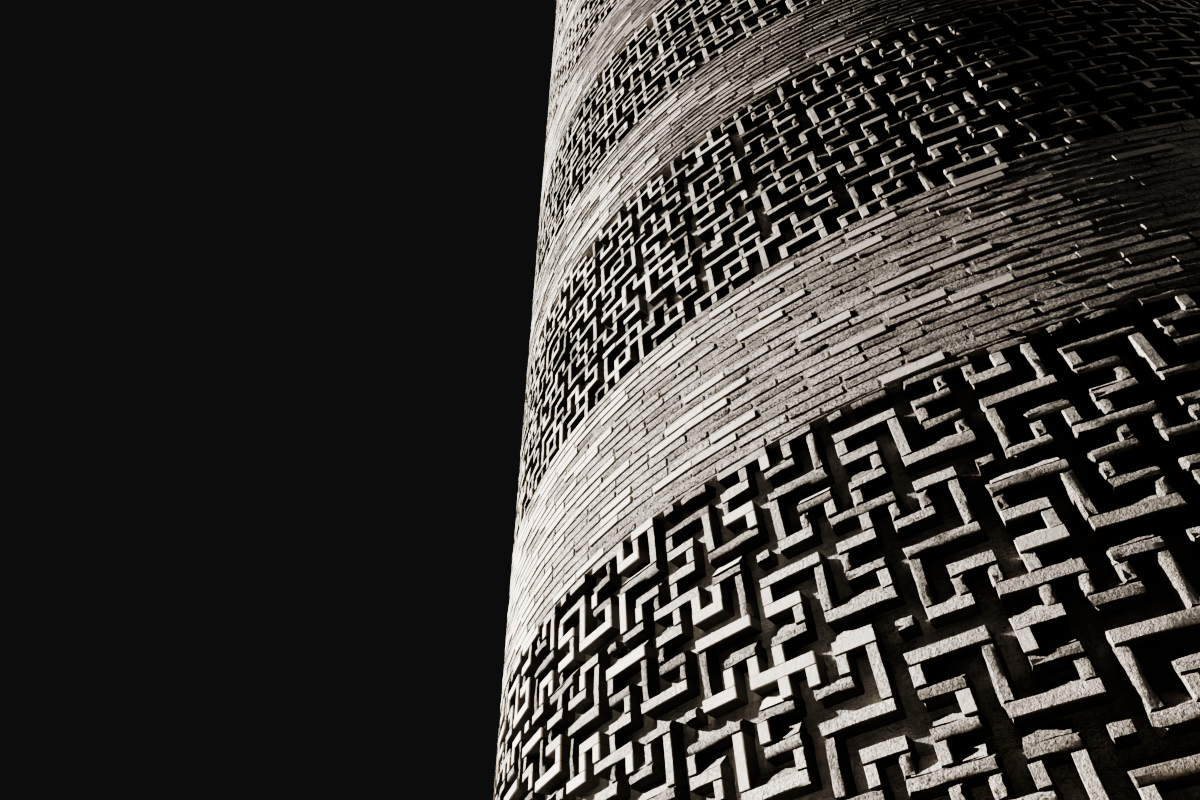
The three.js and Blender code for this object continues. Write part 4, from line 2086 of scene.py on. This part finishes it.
@dataclass(frozen=True)
class Studio:
    """A pale floor, a low key light from the left, a soft one from behind and a faint fill."""

    floor_side: float = 160.0
    floor_colour: Colour = (0.40, 0.395, 0.385)
    floor_roughness: float = 0.9
    lamp_colour: Colour = (1.0, 0.985, 0.965)
    sky_colour: Colour = (0.90, 0.90, 0.90)
    key_angle: float = math.radians(-75.3)
    key_height: float = math.radians(26)
    key_strength: float = 12.8
    key_spread: float = math.radians(1.5)
    back_angle: float = math.radians(116)
    back_height: float = math.radians(30)
    back_strength: float = 3.4
    back_spread: float = math.radians(48)
    fill_strength: float = 0.024
    look: str = "AgX - Very High Contrast"

    def build(self) -> None:
        """Makes the floor and the lights."""
        half = self.floor_side / 2
        mesh = bpy.data.meshes.new("floor")
        corners = [(-half, -half, 0), (half, -half, 0), (half, half, 0), (-half, half, 0)]
        mesh.from_pydata(corners, [], [(0, 1, 2, 3)])
        floor = bpy.data.objects.new("floor", mesh)
        bpy.context.scene.collection.objects.link(floor)
        finish = bpy.data.materials.new("pale_floor")
        finish.use_nodes = True
        skin = finish.node_tree.nodes["Principled BSDF"]
        skin.inputs["Base Color"].default_value = (*self.floor_colour, 1)
        skin.inputs["Roughness"].default_value = self.floor_roughness
        mesh.materials.append(finish)
        floor.visible_diffuse = False
        self.lamp("key", self.key_angle, self.key_height, self.key_strength, self.key_spread)
        self.lamp("back", self.back_angle, self.back_height, self.back_strength, self.back_spread)
        world = bpy.data.worlds.new("studio")
        world.use_nodes = True
        sky = world.node_tree.nodes["Background"]
        sky.inputs["Color"].default_value = (*self.sky_colour, 1)
        sky.inputs["Strength"].default_value = self.fill_strength
        bpy.context.scene.world = world
        bpy.context.scene.view_settings.look = self.look

    def lamp(self, name: str, angle: float, height: float, strength: float, spread: float) -> None:
        """Hangs one lamp far off.

        Args:
            name: The lamp's name.
            angle: Where it stands, round the tower.
            height: How high it stands, as an angle.
            strength: Its strength.
            spread: How wide it is, as an angle.
        """
        data = bpy.data.lights.new(name, "SUN")
        data.energy = strength
        data.angle = spread
        data.color = self.lamp_colour
        lamp = bpy.data.objects.new(name, data)
        bpy.context.scene.collection.objects.link(lamp)
        level = math.cos(height)
        towards = Vector((math.sin(angle) * level, -math.cos(angle) * level, math.sin(height)))
        lamp.rotation_euler = towards.to_track_quat("Z", "Y").to_euler()


# The minaret


@dataclass
class Minaret:
    """The whole tower."""

    shaft: Shaft
    door: Doorway
    near: Mouldshop
    far: Mouldshop
    # The facing brick and the fret ground take painted shade on the side turned away from the key light; the
    # facing brick's worn faces are also darkened, partly as painted self-shadow.
    facing: FiredBrick = FiredBrick("weathered_facing_brick", wear_and_shade=0.2, lee_side_shade=0.42)
    mortar: LimeMortar = LimeMortar("lime_mortar")
    ground: LimeMortar = LimeMortar("fret_ground", light=(0.60, 0.565, 0.51), dark=(0.27, 0.252, 0.225),
                                    specks=0.2, lee_side_shade=0.75)

    @property
    def fret(self) -> FiredBrick:
        """The finish of the ribs, painted darker towards their ground as shade in the recess."""
        recess = Recess(self.shaft.foot_height, self.shaft.foot_radius, self.shaft.taper)
        return FiredBrick("weathered_fret_brick", recess=recess, fineness=110.0, pitting=0.5, specks=0.4)

    def bands(self) -> list[Band]:
        """Lists the bands.

        Returns:
            Every band, from the coping up.
        """
        common = {"shaft": self.shaft, "door": self.door}
        close = {**common, "shop": self.near, "weathering": Weathering()}
        middle = {**common, "shop": self.near, "weathering": Weathering(0.28, 0.22)}
        high = {**common, "shop": self.far, "weathering": Weathering(0.25, 0.25)}
        return [
            PlainBand(node="plain_band_foot", **high),
            FretBand(node="fret_band_1", design=HOOKED_KEYS, columns=224, rows=15, first_angle=-0.342,
                     edges_drawn=True, filled=0.55, **close),
            PlainBand(node="plain_band_1", **close),
            FretBand(node="fret_band_2", design=CROSSED_KEYS, columns=224, rows=15, first_angle=-0.416,
                     rib=0.040, post=0.040, **middle),
            PlainBand(node="plain_band_2", bed=0.013, **middle),
            FretBand(node="fret_band_3", design=LINKED_SQUARES, columns=198, rows=16, first_row=-1,
                     first_angle=-0.288, rib=0.040, post=0.042, filled=0.2, **high),
            PlainBand(node="plain_band_3", bed=0.013, **high),
            FretBand(node="fret_band_4", design=PLUS_AND_KEY, columns=216, rows=16, first_row=-5,
                     first_angle=-0.5335, rib=0.040, post=0.042, filled=0.2, **high),
            PlainBand(node="plain_band_4", **high),
            FriezeBand(node="frieze_band", **high),
            PlainBand(node="plain_band_5", **high),
            FretBand(node="fret_band_5", design=HOOKED_KEYS, columns=184, rows=15, edges_drawn=True,
                     filled=0.2, **high),
            PlainBand(node="plain_band_6", **high),
            FretBand(node="fret_band_6", design=LINKED_SQUARES, columns=168, rows=15, filled=0.2, **high),
            PlainBand(node="plain_band_7", **high),
        ]

    def dressings(self) -> list[Dressing]:
        """Lists the brickwork below and above the bands.

        Returns:
            Every piece of it, from the podium up.
        """
        eighth = FULL_TURN / 8
        common = {"shaft": self.shaft, "shop": self.far}
        low = {**common, "slot": "plinth_brick"}
        octagon = tuple(eighth * number for number in range(8))
        square = tuple(2 * eighth * number for number in range(4))
        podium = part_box("podium")[1]
        plinth_foot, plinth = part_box("plinth")
        coping_foot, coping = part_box("plinth_coping")
        surround_foot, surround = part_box("door_surround")
        cornice_foot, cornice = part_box("cornice")
        gallery_foot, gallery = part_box("gallery_floor")
        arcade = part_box("lantern_arcade")[1]
        crown_foot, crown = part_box("lantern_cornice")
        dome_foot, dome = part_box("dome")
        niche = Arch.pointed(0.56, foot=1.4, spring=1.9)
        doorway = Arch.pointed(0.45, foot=surround_foot.z, spring=6.45)
        bay = Arch.pointed(0.575, foot=gallery.z, spring=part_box("lantern_pier_1")[1].z)
        tier = (cornice.z - cornice_foot.z) / 3
        out = (cornice.x - self.shaft.radius(cornice_foot.z)) / 3
        walls = [
            FlatWalls("podium_bricks", facings=square, distance=podium.x, half_width=podium.x,
                      low=0.0, high=podium.z - PAVING_EDGE, **low),
            Paving("podium_paving", half=podium.x, top=podium.z, inner=plinth.x, facings=octagon, **low),
            FlatWalls("plinth_bricks", facings=octagon, distance=plinth.x, low=plinth_foot.z, high=plinth.z,
                      half_width=plinth.x * math.tan(eighth / 2), arch=niche, niche=0.28, **low),
            FlatWalls("coping_bricks", facings=octagon, distance=coping.x, low=coping_foot.z, high=coping.z,
                      half_width=coping.x * math.tan(eighth / 2), kind=Kind.SOLDIER, course=0.15, brick=0.072,
                      **low),
            FlatWalls("surround_bricks", facings=(math.pi,), distance=surround.y, low=surround_foot.z,
                      high=surround.z, half_width=surround.x, arch=doorway, **common),
        ]
        for step in range(3):
            foot = cornice_foot.z + tier * step
            radius = self.shaft.radius(cornice_foot.z) + out * (step + 1)
            walls.append(RoundWall(f"cornice_bricks_{step + 1}", radius=radius, low=foot, high=foot + tier,
                                   teeth=80, **common))
        walls += [
            RoundWall("gallery_edge", radius=gallery.x, low=gallery_foot.z, high=gallery.z, kind=Kind.SOLDIER,
                      course=0.1, brick=0.072, **common),
            RoundWall("lantern_bricks", radius=arcade.x, low=gallery.z, high=arcade.z, arch=bay, **common),
            RoundWall("lantern_cornice_bricks", radius=crown.x, low=crown_foot.z, high=crown.z, teeth=64,
                      **common),
            DomeCourses("dome_bricks", radius=dome.x, base=dome_foot.z, rise=dome.z - dome_foot.z, **common),
        ]
        return walls

    def dress_nodes(self) -> None:
        """Gives every node that stays in view its brick finish."""
        plinth = CoursedBrick("plinth_courses", radius=4.85)
        podium = CoursedBrick("podium_courses", square=True)
        lantern = CoursedBrick("lantern_courses", radius=2.6)
        well = CoursedBrick("well_courses", radius=1.1, light=(0.44, 0.39, 0.325), dark=(0.26, 0.222, 0.18))
        for name, node in frame["nodes"].items():
            if name.startswith("podium"):
                finish = podium
            elif name.startswith(("lantern", "dome", "cornice", "gallery")):
                finish = lantern
            elif name.startswith(("shaft", "well", "door_jamb", "doorway")):
                finish = well
            else:
                finish = plinth
            node.data.materials.clear()
            node.data.materials.append(finish.material())

    def build(self) -> None:
        """Builds and dresses everything, piece by piece."""
        self.near.open()
        self.far.open()
        layer = Bricklayer()
        self.dress_nodes()
        fret = self.fret
        for band in self.bands():
            if isinstance(band, PlainBand):
                band.build(layer, self.facing, self.mortar)
            else:
                band.build(layer, fret, self.ground)
        for dressing in self.dressings():
            dressing.build(layer, self.facing, self.mortar)
        self.near.close()
        self.far.close()
        bpy.data.node_groups.remove(layer.tree)


def main() -> None:
    """Builds the studio and the minaret."""
    logging.basicConfig(level=logging.INFO, format="%(name)s: %(message)s")
    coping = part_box("plinth_coping")[1].z
    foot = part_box("plain_band_foot")
    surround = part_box("door_surround")
    shaft = Shaft(foot_height=coping, foot_radius=foot[1].x)
    door = Doorway(half_width=surround[1].x, foot=surround[0].z, top=surround[1].z)
    near = Mouldshop("near_mould", SIZES, CLOSE_CUTS, CLOSE)
    far = Mouldshop("far_mould", SIZES, SOUND_CUTS, SOUND)
    Viewpoint().build()
    Studio().build()
    Minaret(shaft, door, near, far).build()


if __name__ == "__main__":
    main()
